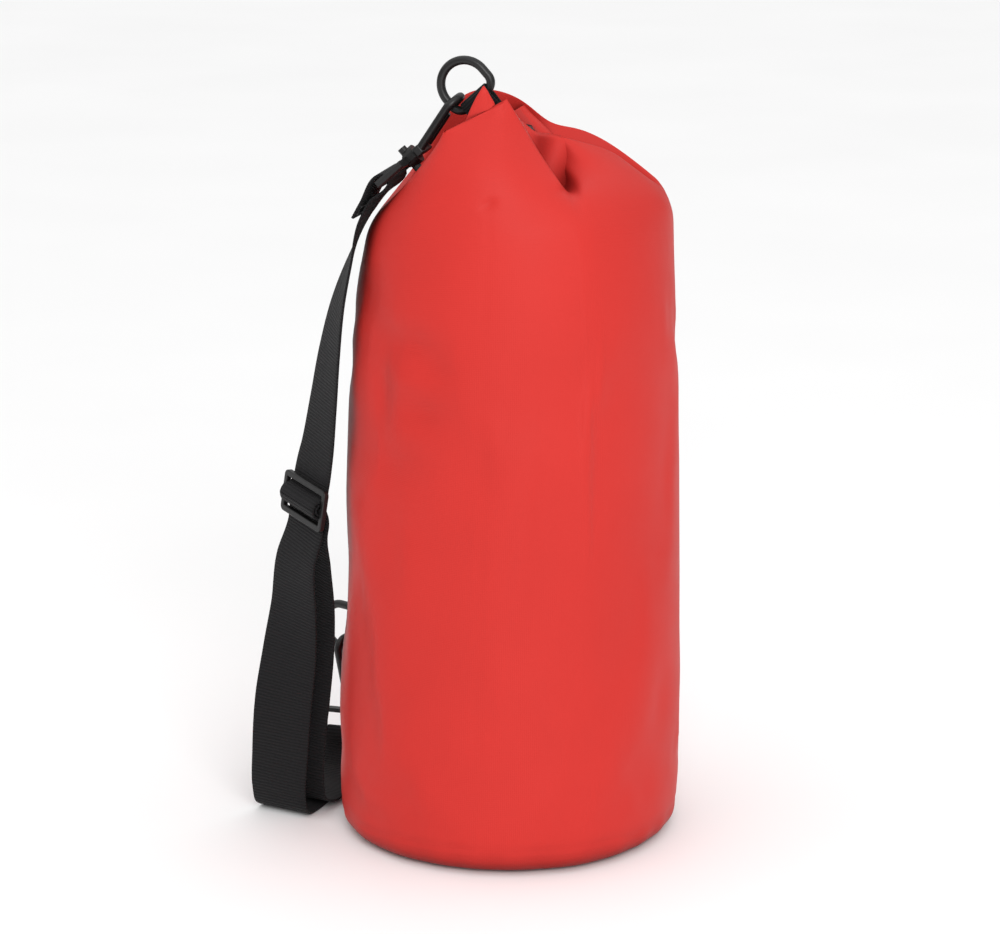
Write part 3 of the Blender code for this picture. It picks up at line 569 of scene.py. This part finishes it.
# ---- bag ----------------------------------------------------------------------------------
def roll_at(distance):
    """Centre, width direction and inward normal of the roll, that far from its middle."""
    def angles(s):
        turn = min(max(abs(s) - ROLL_FLAT, 0.0) / ROLL_BEND, ROLL_TURN)
        span = (abs(s) - ROLL_LEAN_FROM) / (ROLL_HALF - ROLL_LEAN_FROM)
        return turn, ROLL_LEAN * smooth_step(span)

    def tangent(s):
        turn, lean = angles(s)
        slope = (turn if s >= 0 else -turn) - ROLL_TILT
        return Vector((-math.sin(lean) * math.sin(slope), math.cos(slope),
                       math.cos(lean) * math.sin(slope)))

    centre = ROLL_LOW.copy()
    steps = max(1, round(abs(distance) / 0.001))
    for i in range(steps):
        centre += tangent(distance * (i + 0.5) / steps) * (distance / steps)
    lean = angles(distance)[1]
    wide = Vector((math.cos(lean), 0, math.sin(lean)))
    return centre, wide, wide.cross(tangent(distance)).normalized()


def wall_point(heading, height, radius):
    return Vector((radius * math.sin(heading) + BAG_LEAN * height, -radius * math.cos(heading),
                   height))


def mouth_point(degrees):
    """Where the fabric that stands at that heading round the wall runs into the roll."""
    degrees %= 360
    side = 1 if degrees <= 180 else -1
    share = (degrees if side > 0 else 360 - degrees) / 90 - 1
    distance = MOUTH_END * share
    centre, wide, inward = roll_at(distance)
    end = smooth_step((abs(distance) / MOUTH_END - 0.75) / 0.25)
    return (centre + wide * (side * MOUTH_HALF_WIDTH * (1 - 0.4 * end))
            - inward * (MOUTH_END_OUT * 0.5 * end))


def skin_rows():
    """Rings of points from the middle of the base up the wall, over the rim and down to the roll."""
    headings = [math.radians(c[0]) for c in COLUMNS]
    bottom = WALL[0][1]
    rows = [[Vector((r * math.sin(a), -r * math.cos(a), 0)) for a in headings]
            for r in (*BASE_RINGS, bottom - BASE_EDGE)]
    for turn in (math.pi / 6, math.pi / 3):
        r = bottom - BASE_EDGE + BASE_EDGE * math.sin(turn)
        z = BASE_EDGE - BASE_EDGE * math.cos(turn)
        rows.append([Vector((r * math.sin(a), -r * math.cos(a), z)) for a in headings])
    rows += [[wall_point(a, z, r) for a in headings] for z, r in WALL]
    lines = [resample([Vector(p) * MM for p in c[1]], UP) for c in COLUMNS]
    rows += [[line[k] for line in lines] for k in range(UP + 1)]
    rim = len(rows) - 1
    mouth = [mouth_point(c[0]) for c in COLUMNS]
    rows += [[a.lerp(b, t) for a, b in zip(rows[rim], mouth)] for t in INSIDE]
    return rows, rim


def skin_cage():
    """Coarse mesh of the skin with its folds creased, and a UV map in metres."""
    rows, rim = skin_rows()
    count = len(COLUMNS)
    bm = bmesh.new()
    uv = bm.loops.layers.uv.new("cloth")
    crease = bm.edges.layers.float.new("crease_edge")
    point = bm.verts.layers.float.new("crease_vert")
    rings = [[bm.verts.new(p) for p in row] for row in rows]
    middle = bm.verts.new((0, 0, 0))
    radius = WALL[-1][1]
    across = [math.radians(c[0]) * radius for c in COLUMNS] + [
        math.radians(COLUMNS[0][0] + 360) * radius]
    up = [0.0]
    for before, after in zip(rows, rows[1:]):
        up.append(up[-1] + max((after[0] - before[0]).length, 0.002))
    for i in range(count):
        k = (i + 1) % count
        face = bm.faces.new((rings[0][k], rings[0][i], middle))
        for loop in face.loops:
            loop[uv].uv = (loop.vert.co.x, loop.vert.co.y)
        for j in range(len(rows) - 1):
            face = bm.faces.new((rings[j][i], rings[j][k], rings[j + 1][k], rings[j + 1][i]))
            corners = ((across[i], up[j]), (across[i + 1], up[j]), (across[i + 1], up[j + 1]),
                       (across[i], up[j + 1]))
            for loop, corner in zip(face.loops, corners):
                loop[uv].uv = corner
    bm.edges.ensure_lookup_table()

    def set_crease(a, b, value):
        bm.edges.get((a, b))[crease] = value

    for i in range(count):
        set_crease(rings[rim][i], rings[rim][(i + 1) % count], COLUMNS[i][2])
    for j in range(rim - UP + FOLD_FOOT, rim):
        for i in (FOLD_COLUMN, FOLD_COLUMN + 1):
            set_crease(rings[j][i], rings[j + 1][i], 1.0)
    for i in POINTED_COLUMNS:
        rings[rim][i][point] = 1.0
    return bm


def relax_as_cloth(obj, pin, frames=16, cap=0.0016):
    """Short cloth run on the slightly oversized skin; cap keeps it to small undulations, so the
    folds stay where the cage puts them."""
    start = np.array([v.co for v in obj.data.vertices])
    group = obj.vertex_groups.new(name="pin")
    for index, weight in enumerate(pin):
        group.add([index], float(weight), "REPLACE")
    mod = obj.modifiers.new("cloth", "CLOTH")
    mod.settings.quality = 6
    mod.settings.mass = 0.4
    mod.settings.tension_stiffness = 40
    mod.settings.compression_stiffness = 40
    mod.settings.shear_stiffness = 20
    mod.settings.bending_stiffness = 1.2
    mod.settings.shrink_min = -0.010
    mod.settings.use_pressure = True
    mod.settings.uniform_pressure_force = 0.25
    mod.settings.vertex_group_mass = "pin"
    mod.settings.pin_stiffness = 1.0
    mod.settings.effector_weights.gravity = 0
    mod.collision_settings.use_collision = False
    mod.point_cache.frame_start = 1
    mod.point_cache.frame_end = frames
    for k in range(1, frames + 1):
        bpy.context.scene.frame_set(k)
    apply_modifiers(obj)
    bpy.context.scene.frame_set(1)
    obj.vertex_groups.clear()
    moved = np.array([v.co for v in obj.data.vertices])
    step = moved - start
    length = np.linalg.norm(step, axis=1, keepdims=True)
    step *= np.minimum(1.0, cap / np.maximum(length, 1e-9))
    step *= (1 - np.array(pin))[:, None] ** 0.5
    obj.data.vertices.foreach_set("co", (start + step).astype(np.float32).ravel())
    obj.data.update()


def pin_weights(mesh):
    """1 where the fabric is held: the base, the patch and seam, and what is rolled up."""
    weights = []
    for v in mesh.vertices:
        x, y, z = v.co
        heading = math.degrees(math.atan2(x - BAG_LEAN * z, -y)) % 360
        radius = math.hypot(x - BAG_LEAN * z, y)
        held = 1 - smooth_step((z - 0.020) / 0.030)
        held = max(held, smooth_step((0.070 - radius) / 0.02) if z > 0.33 else 0.0)
        held = max(held, smooth_step((z - 0.290) / 0.110))
        if 220 < heading < 266 and 0.05 < z < 0.15:
            held = 1.0
        if 168 < heading < 192:
            held = 1.0
        weights.append(min(1.0, max(held, 0.03)))
    return weights


def dent_skin(mesh):
    """Presses the soft dents, the weld round the base and the packing crease into the skin."""
    count = len(mesh.vertices)
    co = np.zeros(count * 3)
    mesh.vertices.foreach_get("co", co)
    co = co.reshape(-1, 3)
    axis = np.stack([BAG_LEAN * co[:, 2], np.zeros(count)], axis=1)
    out = co[:, :2] - axis
    radius = np.maximum(np.linalg.norm(out, axis=1), 1e-6)
    out /= radius[:, None]
    heading = np.arctan2(out[:, 0], -out[:, 1])
    height = co[:, 2]
    on_wall = np.clip((radius - 0.060) / 0.02, 0, 1)
    push = np.zeros(count)

    def apart(a):
        return (heading - a + math.pi) % (2 * math.pi) - math.pi

    for degrees, z, wide, tall, depth in DENTS:
        u = apart(math.radians(degrees)) * radius / wide
        w = (height - z) / tall
        push -= depth * np.exp(-(u ** 2 + w ** 2)) * on_wall
    line = apart(PRESS_LINE) * radius
    sway = 0.0012 * np.sin(height * 37)
    along = np.clip((height - 0.07) / 0.03, 0, 1) * np.clip((0.43 - height) / 0.03, 0, 1)
    push -= 0.00035 * np.exp(-((line - sway) / 0.0015) ** 2) * along * on_wall
    for z, depth in KINKS:
        slant = (height - z) - 0.35 * (line - sway)
        push -= depth * np.exp(-(slant / 0.0032) ** 2 - ((line - sway) / 0.0042) ** 2) * on_wall
    # the weld of wall and base: a shallow band with a pressed line above it
    weld = 0.0165 + 0.0012 * np.sin(heading * 3 + 0.6) + 0.0006 * np.sin(heading * 11)
    push -= 0.0006 * np.exp(-((height - weld) / 0.0012) ** 2)
    low = np.exp(-((height - 0.009) / 0.007) ** 2)
    push += 0.0004 * low * np.sin(heading * 23 + 1.5 * np.sin(heading * 5))
    co[:, :2] += out * push[:, None]
    mesh.vertices.foreach_set("co", co.ravel())
    mesh.update()


def bag_skin():
    """The filled bag, one sheet from the base up to the roll."""
    skin = finish_mesh("bag_skin", skin_cage(), coated_fabric("coated_fabric_red"))
    skin.data.flip_normals()
    divide = skin.modifiers.new("smooth", "SUBSURF")
    divide.levels = divide.render_levels = SIM_LEVEL
    divide.uv_smooth = "NONE"
    apply_modifiers(skin)
    relax_as_cloth(skin, pin_weights(skin.data))
    divide = skin.modifiers.new("finer", "SUBSURF")
    divide.levels = divide.render_levels = 1
    apply_modifiers(skin)
    dent_skin(skin.data)
    skin.data.shade_smooth()
    shell = skin.modifiers.new("fabric", "SOLIDIFY")
    shell.thickness = 0.0007
    shell.offset = -1
    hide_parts("body_tube", "base_disc")
    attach(skin, "bag")
    return skin


def spiral_section():
    """Flattened spiral of doubled fabric: its outer line, and back along its inner line."""
    step = math.radians(18)
    count = int(ROLL_TURNS * 2 * math.pi / step)
    outside = ROLL_CORE + ROLL_PLY / 2 + ROLL_PITCH * ROLL_TURNS
    reach = ROLL_HALF_WIDTH - outside

    def line(offset):
        pts = []
        for k in range(count + 1):
            angle = k * step - math.pi / 2
            radius = ROLL_CORE + ROLL_PLY / 2 + ROLL_PITCH * k * step / (2 * math.pi) + offset
            across = math.cos(angle)
            shift = reach * max(-1.0, min(1.0, across * 6))
            pts.append((shift + radius * across, radius * math.sin(angle)))
        return pts
    return line(ROLL_PLY / 2) + line(-ROLL_PLY / 2)[::-1]


def roll():
    """The rolled closure; its far end is cut straight, its near end runs into the fin."""
    frames, scales = [], []
    for k in range(ROLL_STATIONS + 1):
        s = ROLL_NEAR + (ROLL_FAR - ROLL_NEAR) * k / ROLL_STATIONS
        centre, wide, inward = roll_at(s)
        far = smooth_step((s - ROLL_TAPER_FROM) / (ROLL_FAR - ROLL_TAPER_FROM))
        near = smooth_step((ROLL_NEAR + 0.030 - s) / 0.030)
        frames.append((centre, wide, inward))
        scales.append((1 - (1 - ROLL_TAPER) * far) * (1 - 0.35 * near))
    piece = sweep("roll", frames, spiral_section(), coated_fabric("coated_fabric_roll", False),
                  scales=scales, sharp=60)
    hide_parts("rolled_closure")
    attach(piece, "bag")


def roll_fin():
    """The near end of the roll: the rolled fabric narrows to a soft upright tip."""
    points = [Vector(p) * MM for p in FIN_SPINE]
    knots = knots_of(points)
    steps, sides = 30, 28
    lean = Vector((math.cos(ROLL_LEAN), 0.12, math.sin(ROLL_LEAN) * 0.85)).normalized()
    facing = Vector((-0.1, -1, 0.2))
    facing = (facing - lean * facing.dot(lean)).normalized()
    bm = bmesh.new()
    rings = []
    for j in range(steps + 1):
        where = knots[-1] * j / steps
        centre = curve_at(points, knots, where)
        half = MM * float(np.interp(where, knots, FIN_HALVES))
        thick = MM * float(np.interp(where, knots, FIN_THICKS))
        ring = []
        for k in range(sides):
            a = 2 * math.pi * k / sides
            fold = 0.0010 * math.exp(-((math.cos(a) + 0.30) / 0.10) ** 2) * (1 - j / steps)
            ring.append(bm.verts.new(centre + lean * (half * math.cos(a))
                                     + facing * ((thick - fold) * math.sin(a))))
        rings.append(ring)
    for lower, upper in zip(rings, rings[1:]):
        for k in range(sides):
            m = (k + 1) % sides
            bm.faces.new((lower[k], lower[m], upper[m], upper[k]))
    bm.faces.new(rings[0])
    bm.faces.new(rings[-1])
    fin = finish_mesh("roll_fin", bm, coated_fabric("coated_fabric_fin", False))
    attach(fin, "bag")


# ---- D-rings and hooks --------------------------------------------------------------------
def wire(name, frame_matrix, points, radius, material, closed, normal, sides=20):
    """Round wire through local points that lie in the plane with that normal."""
    frames = []
    count = len(points)
    turn = frame_matrix.to_3x3()
    across = turn @ normal
    for i, p in enumerate(points):
        before = points[i - 1] if closed or i else p
        after = points[(i + 1) % count] if closed or i < count - 1 else p
        ahead = (turn @ (Vector(after) - Vector(before))).normalized()
        side = (across - ahead * across.dot(ahead)).normalized()
        frames.append((frame_matrix @ Vector(p), side, ahead.cross(side)))
    return sweep(name, frames, round_section(radius, sides), material, closed=closed, sharp=50)


def ring_outline():
    """Straight bar on the local z axis, arc out to +x."""
    pts = []
    for k in range(9):
        a = math.radians(90 * k / 8)
        pts.append((RING_CORNER - RING_CORNER * math.cos(a), 0,
                    RING_HALF - RING_CORNER + RING_CORNER * math.sin(a)))
    flank = RING_DEPTH - RING_HALF
    for k in range(41):
        a = math.radians(90 - 180 * k / 40)
        pts.append((flank + RING_HALF * math.cos(a), 0, RING_HALF * math.sin(a)))
    for k in range(9):
        a = math.radians(90 * k / 8)
        pts.append((RING_CORNER - RING_CORNER * math.sin(a), 0,
                    -RING_HALF + RING_CORNER - RING_CORNER * math.cos(a)))
    pts += [(0, 0, z) for z in (-0.005, -0.002, 0.002, 0.005)]
    return pts


def d_ring(prefix, at, material):
    ring = wire(prefix + "_ring", at, ring_outline(), RING_WIRE, material, True, Y_AXIS)
    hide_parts(prefix + "_d_ring")
    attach(ring, prefix + "_d_ring")


def ring_tab(prefix, at, reach, material):
    """Webbing wrapped round the ring's bar, both plies running away from the ring."""
    rot = at.to_3x3()
    radius = RING_WIRE + TAB_CLEAR + WEBBING / 2
    away, side = -(rot @ X_AXIS), rot @ Y_AXIS
    bar = at.translation
    spread = WEBBING / 2 + GAP
    line = [bar + away * reach + side * spread, bar + away * (0.45 * reach) + side * radius * 0.8]
    line += [bar + side * (radius * math.cos(a)) - away * (radius * math.sin(a))
             for a in [math.pi * k / 6 for k in range(7)]]
    line += [bar + away * (0.45 * reach) - side * radius * 0.8, bar + away * reach - side * spread]
    tab, _ = ribbon(prefix + "_tab", [(p, rot @ Z_AXIS) for p in line], 0.020, WEBBING, material,
                    spacing=0.0009)
    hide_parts(prefix + "_ring_tab")
    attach(tab, "bag")


def hook_line(y, z):
    """Point of the arm, which rises straight from its foot beside the ring's bar (the CAD's arm
    bends on the way)."""
    share = (z - HOOK_FOOT_Z) / (EYE_Z - HOOK_FOOT_Z)
    lift = HOOK_OFFSET * min(1.0, max(0.0, share))
    return (lift, y, z)


def hook_body(prefix, at, material):
    """Bent arm with its eye, closed by the foot block that the swivel stem grows from."""
    line = [hook_line(EYE_HALF, HOOK_FOOT_Z + 0.001 + 0.0025 * k) for k in range(11)]
    line += [hook_line(EYE_HALF * math.cos(a), EYE_Z + EYE_HALF * math.sin(a))
             for a in [math.radians(7.5 * k) for k in range(25)]]
    line += [hook_line(-EYE_HALF, EYE_Z - 0.0035)]
    arm = wire(prefix + "_arm", at, line, HOOK_THICK, material, False, X_AXIS)
    bevel(arm, 0.0008)
    foot = block(prefix + "_foot", at, (-0.0032, -0.0104, HOOK_FOOT_Z - 0.0035),
                 (0.0032, 0.0104, HOOK_FOOT_Z + 0.0022), material, 0.0012)
    stem = turned(prefix + "_stem", at, [
        (0.0027, HOOK_FOOT_Z - 0.0010), (0.0027, COLLAR_Z[0] - 0.0005),
        (0.0042, COLLAR_Z[0] - 0.0008), (0.0042, COLLAR_Z[0] - 0.0018),
        (0.0034, COLLAR_Z[0] - 0.0022)], material)
    for piece in (foot, stem):
        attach(piece, prefix + "_hook_body")
    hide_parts(prefix + "_hook_body")
    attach(arm, prefix + "_hook_body")


def block(name, at, low, high, material, edge):
    """Moulded block with rounded edges, in a local frame."""
    bm = bmesh.new()
    bmesh.ops.create_cube(bm, size=1.0)
    low, high = Vector(low), Vector(high)
    for v in bm.verts:
        v.co = at @ Vector([(low[k] + high[k]) / 2 + v.co[k] * (high[k] - low[k]) for k in range(3)])
    return bevel(finish_mesh(name, bm, material, 30), edge, 4)


def turned(name, at, profile, material, sides=32):
    """Solid of revolution about the local z axis; profile is a list of (radius, z)."""
    bm = bmesh.new()
    rings = []
    for r, z in profile:
        rings.append([bm.verts.new(at @ Vector((r * math.cos(2 * math.pi * k / sides),
                                                r * math.sin(2 * math.pi * k / sides), z)))
                      for k in range(sides)])
    for lower, upper in zip(rings, rings[1:]):
        for k in range(sides):
            m = (k + 1) % sides
            bm.faces.new((lower[k], lower[m], upper[m], upper[k]))
    bm.faces.new(rings[0])
    bm.faces.new(rings[-1])
    return bevel(finish_mesh(name, bm, material, 30), 0.0004, 2)


def hook_gate(prefix, at, material):
    """Sprung tongue beside the arm."""
    rot = at.to_3x3()
    foot = Vector(hook_line(-EYE_HALF, GATE_FOOT_Z))
    top = Vector(hook_line(-EYE_HALF, GATE_TOP_Z))
    frames = [(at @ foot.lerp(top, t), rot @ X_AXIS, rot @ Y_AXIS) for t in
              (0, 0.25, 0.5, 0.75, 1)]
    w, t, b = 0.0023, 0.0021, 0.0010
    section = [(-w + b, -t), (w - b, -t), (w, -t + b), (w, t - b), (w - b, t), (-w + b, t),
               (-w, t - b), (-w, -t + b)]
    gate = bevel(sweep(prefix + "_tongue", frames, section, material, sharp=30), 0.0004, 3)
    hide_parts(prefix + "_hook_gate")
    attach(gate, prefix + "_hook_gate")


def carry_over(node, material, edge=0.0005):
    """A CAD node that is shown as it is, with softened edges and its material."""
    obj = frame["nodes"][node]
    obj.data.materials.clear()
    obj.data.materials.append(material)
    if edge:
        bevel(obj, edge)
    return obj


# ---- strap --------------------------------------------------------------------------------
def slider_frame():
    """Local x across the strap, y to its back, z up along it."""
    return axis_frame(SLIDER_CENTRE, SLIDER_ALONG, width_at(SLIDER_TWIST))


def round_bar(bar, across, down, radius, wide, steps=6):
    """Half a turn of webbing over a bar, from -across, over -down, to +across."""
    return [(bar - across * (radius * math.cos(a)) - down * (radius * math.sin(a)), wide)
            for a in [math.pi * k / steps for k in range(steps + 1)]]


def stitch_rows(name, frames, spots, thick, material):
    """Short thread stitches on both faces of a ribbon; spots are (frame index, across, turned)."""
    bm = bmesh.new()
    length, wide, high = 0.0021, 0.00035, 0.00022
    for index, across, turned_round in spots:
        centre, u_dir, v_dir = frames[index]
        ahead = v_dir.cross(u_dir) * -1
        main, side = (u_dir, ahead) if turned_round else (ahead, u_dir)
        for face in (-1, 1):
            middle = centre + u_dir * across + v_dir * (face * (thick / 2 + high * 0.35))
            ring = []
            for k in range(5):
                t = k / 4 - 0.5
                lift = v_dir * (face * high * math.cos(math.pi * t))
                for s in (-1, 1):
                    ring.append(bm.verts.new(middle + main * (length * t) + side * (wide * s) + lift))
            low = [bm.verts.new(middle + main * (length * t) + side * (wide * s)
                                - v_dir * (face * high))
                   for t in (-0.5, 0.5) for s in (-1, 1)]
            for k in range(4):
                bm.faces.new((ring[2 * k], ring[2 * k + 1], ring[2 * k + 3], ring[2 * k + 2]))
            bm.faces.new((low[0], low[1], low[3], low[2]))
            bm.faces.new((low[0], low[2], *ring[8::-2]))
            bm.faces.new((low[1], low[3], *ring[9::-2]))
            bm.faces.new((low[0], low[1], ring[1], ring[0]))
            bm.faces.new((low[2], low[3], ring[9], ring[8]))
    return finish_mesh(name, bm, material, 40)


def box_stitch(start, end, half):
    """Spots of a sewn box between two frame indices: two long sides and two bars."""
    spots = [(i, side * half, False) for i in range(start, end + 1) for side in (-1, 1)]
    bars = int(2 * half / 0.0026)
    spots += [(i, -half + 2 * half * (k + 0.5) / bars, True) for k in range(bars)
              for i in (start, end)]
    return spots


def strap_routes():
    """The three stretches of the one length of webbing: down to the slider, through it and down
    to the floor and the lower hook, and back up to the slider's middle bar."""
    up = upper_frame()
    bar = up @ Vector((0, 0, BASE_Z))
    across, down = up.to_3x3() @ X_AXIS, -(up.to_3x3() @ Z_AXIS)
    radius = math.hypot(BASE_BAR, BASE_THICK / 2) + STRAP_THICK / 2 + 0.0006
    edge_on = width_at(-90)
    first = [(Vector(p), edge_on) for p in UPPER_SEWN_END]
    first += round_bar(bar, -across, down, radius, edge_on)
    first += [(bar + down * 0.014 - across * 0.0042, edge_on)]
    first += [(Vector(p), width_at(a)) for p, a in UPPER_STRAND]

    glide = slider_frame()
    cross = glide.to_3x3() @ X_AXIS
    through = [(glide @ Vector((0, y, z)), cross) for y, z in SLIDER_PASS]
    middle = len(through) // 2
    outer = [(Vector(p), width_at(a)) for p, a in OUTER_STRAND]

    low = lower_frame() @ Matrix.Rotation(LOWER_BASE_TURN, 4, "Z")
    low_bar = low @ Vector((0, 0, BASE_Z))
    wide = -(low.to_3x3() @ Y_AXIS)
    side = low.to_3x3() @ X_AXIS
    outer.append((low_bar + side * radius - Z_AXIS * 0.0055, wide))
    turn = round_bar(low_bar, -side, -Z_AXIS, radius, wide)
    half_turn = len(turn) // 2
    inner = [(low_bar - side * radius - Z_AXIS * 0.0055, wide)]
    inner += [(Vector(p), width_at(a)) for p, a in INNER_STRAND]
    inner += [(glide @ Vector((0, y, z)), cross) for y, z in SEWN_RISE]
    loop = math.hypot(SLIDER_BAR / 2, SLIDER_SIZE[2] / 2) + STRAP_THICK / 2 + GAP
    inner += [(glide @ Vector((0, loop * math.cos(a), loop * math.sin(a))), cross)
              for a in [math.radians(30 * k) for k in range(10)]]
    inner += [(glide @ Vector((0, y, z)), cross) for y, z in SEWN_TAIL]
    return (first + through[:middle + 1],
            through[middle:] + outer + turn[:half_turn + 1],
            turn[half_turn:] + inner)


def upper_frame():
    axis = Vector((math.cos(UPPER_AXIS), 0, math.sin(UPPER_AXIS)))
    return axis_frame(UPPER_RING, axis, Vector((-math.sin(UPPER_AXIS), 0, math.cos(UPPER_AXIS))))


def lower_frame():
    return axis_frame(LOWER_RING, Z_AXIS, LOWER_FACING)


def strap():
    """The shoulder strap in three stretches that meet where the strap crosses the slider's front
    and where it turns round the lower hook's bar."""
    band = webbing("strap_webbing")
    sewing = thread("strap_thread")
    glide = slider_frame()
    first, second, third = strap_routes()
    upper, upper_frames = ribbon("strap_upper", first, STRAP_WIDTH, STRAP_THICK, band)
    outer, _ = ribbon("strap_outer", second, STRAP_WIDTH, STRAP_THICK, band)
    inner, _ = ribbon("strap_inner", third, STRAP_WIDTH, STRAP_THICK, band)
    count = len(upper_frames)
    sewn = [k for k in range(count) if upper_frames[k][0].z < 0.405 and k < count // 4]
    seam = stitch_rows("strap_upper_stitches", upper_frames,
                       box_stitch(sewn[0] + 1, sewn[-1], 0.016), STRAP_THICK, sewing)
    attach(seam, "bag")
    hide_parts("shoulder_strap")
    for piece, start, end in (
            (upper, Vector((-0.09, -0.04, 0.375)), glide @ Vector((0, 0, 0.022))),
            (outer, Vector((-0.1345, -0.035, 0.105)), glide @ Vector((0, 0, -0.022))),
            (inner, Vector((-0.126, -0.024, 0.105)), glide @ Vector((0, 0, -0.022)))):
        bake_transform(piece)


def slider():
    """Tri-glide: a flat frame with rounded corners and two slots."""
    at = slider_frame()
    long, tall, thick = (v / 2 for v in SLIDER_SIZE)
    corner = 0.0034
    bm = bmesh.new()

    def outline(w, h, r, y, steps=6):
        pts = []
        for cx, cz, start in ((w - r, h - r, 0), (-w + r, h - r, 90), (-w + r, -h + r, 180),
                              (w - r, -h + r, 270)):
            for k in range(steps + 1):
                a = math.radians(start + 90 * k / steps)
                pts.append(bm.verts.new(at @ Vector((cx + r * math.cos(a), y, cz + r * math.sin(a)))))
        return pts

    for y in (-thick, thick):
        outline(long, tall, corner, y)
    verts = list(bm.verts)
    half = len(verts) // 2
    front, back = verts[:half], verts[half:]
    bm.faces.new(front)
    bm.faces.new(list(reversed(back)))
    for k in range(half):
        m = (k + 1) % half
        bm.faces.new((front[k], back[k], back[m], front[m]))
    material = plastic("slider_plastic", low=0.33, high=0.5)
    body = finish_mesh("slider_frame", bm, material, 30)
    inner = STRAP_WIDTH / 2 + 0.0007
    for side in (-1, 1):
        low, high = sorted((side * SLIDER_BAR / 2, side * SLIDER_SLOT))
        slot = block("slider_cutter", at, (-inner, -0.01, low), (inner, 0.01, high), material, 0.0008)
        apply_modifiers(slot)
        cut = body.modifiers.new("slot", "BOOLEAN")
        cut.operation = "DIFFERENCE"
        cut.solver = "EXACT"
        cut.object = slot
        apply_modifiers(body)
        bpy.data.objects.remove(slot)
    body.data.set_sharp_from_angle(angle=math.radians(30))
    bevel(body, 0.0006, 3)
    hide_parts("strap_slider")
    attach(body, "strap_slider")


# ---- stage --------------------------------------------------------------------------------
def camera():
    data = bpy.data.cameras.new("camera")
    data.lens = CAMERA_LENS
    data.sensor_width = 36
    obj = bpy.data.objects.new("camera", data)
    bpy.context.scene.collection.objects.link(obj)
    obj.location = (CAMERA_DISTANCE * math.sin(CAMERA_HEADING),
                    -CAMERA_DISTANCE * math.cos(CAMERA_HEADING), CAMERA_HEIGHT)
    obj.rotation_euler = (math.pi / 2 - CAMERA_PITCH, 0, CAMERA_HEADING + CAMERA_TURN)
    bpy.context.scene.camera = obj


def area_light(name, place, target, size, power):
    data = bpy.data.lights.new(name, "AREA")
    data.energy = power
    data.size = size
    obj = bpy.data.objects.new(name, data)
    bpy.context.scene.collection.objects.link(obj)
    obj.location = place
    obj.rotation_euler = (Vector(target) - Vector(place)).to_track_quat("-Z", "Y").to_euler()


def studio():
    world = bpy.data.worlds.new("studio")
    bpy.context.scene.world = world
    world.use_nodes = True
    tree = world.node_tree
    background = tree.nodes["Background"]
    background.inputs["Color"].default_value = (1, 1, 1, 1)
    direction = tree.nodes.new("ShaderNodeTexCoord")
    parts = tree.nodes.new("ShaderNodeSeparateXYZ")
    ramp = tree.nodes.new("ShaderNodeMapRange")
    ramp.inputs["From Min"].default_value = 0.0
    ramp.inputs["From Max"].default_value = 1.0
    ramp.inputs["To Min"].default_value = SKY_AT_HORIZON
    ramp.inputs["To Max"].default_value = SKY_OVERHEAD
    tree.links.new(direction.outputs["Generated"], parts.inputs[0])
    tree.links.new(parts.outputs["Z"], ramp.inputs["Value"])
    tree.links.new(ramp.outputs["Result"], background.inputs["Strength"])
    area_light("key", (0.95, -2.1, 1.35), (0, 0, 0.25), 1.3, KEY_POWER)
    bm = bmesh.new()
    bmesh.ops.create_grid(bm, x_segments=2, y_segments=2, size=9.0)
    for v in bm.verts:
        v.co.z = -0.0004
    paper = Nodes("paper", (0.93, 0.93, 0.93), 0.7)
    paper.colour_between(paper.noise(3.0, 2.0), (0.92, 0.92, 0.92), (0.94, 0.94, 0.94))
    floor = finish_mesh("floor", bm, paper.material)


def main():
    bpy.context.scene.view_settings.view_transform = "Standard"
    camera()
    studio()
    bag_skin()
    roll()
    roll_fin()
    fabric = coated_fabric("coated_fabric_parts", False)
    for node in ("back_seam_tape", "lower_patch"):
        carry_over(node, fabric, 0.0004)
    strip = plastic("strip_plastic", GREY_STRIP, 0.4, 0.55)
    for node in ("hem_stiffener_front", "hem_stiffener_back"):
        carry_over(node, strip, 0.0003)
    moulded = plastic("moulded_plastic")
    for node in ("buckle_socket", "buckle_plug", "buckle_prong_left", "buckle_prong_right",
                 "upper_swivel_base", "lower_swivel_base"):
        carry_over(node, moulded)
    narrow = webbing("closure_webbing", 0.0018)
    for node in ("buckle_tab_near", "buckle_tab_far"):
        carry_over(node, narrow, 0.0003)
    for prefix, at, reach in (("upper", upper_frame(), 0.018), ("lower", lower_frame(), 0.0232)):
        d_ring(prefix, at, moulded)
        ring_tab(prefix, at, reach, narrow)
        hook_body(prefix, at, moulded)
        hook_gate(prefix, at, moulded)
    slider()
    strap()


main()
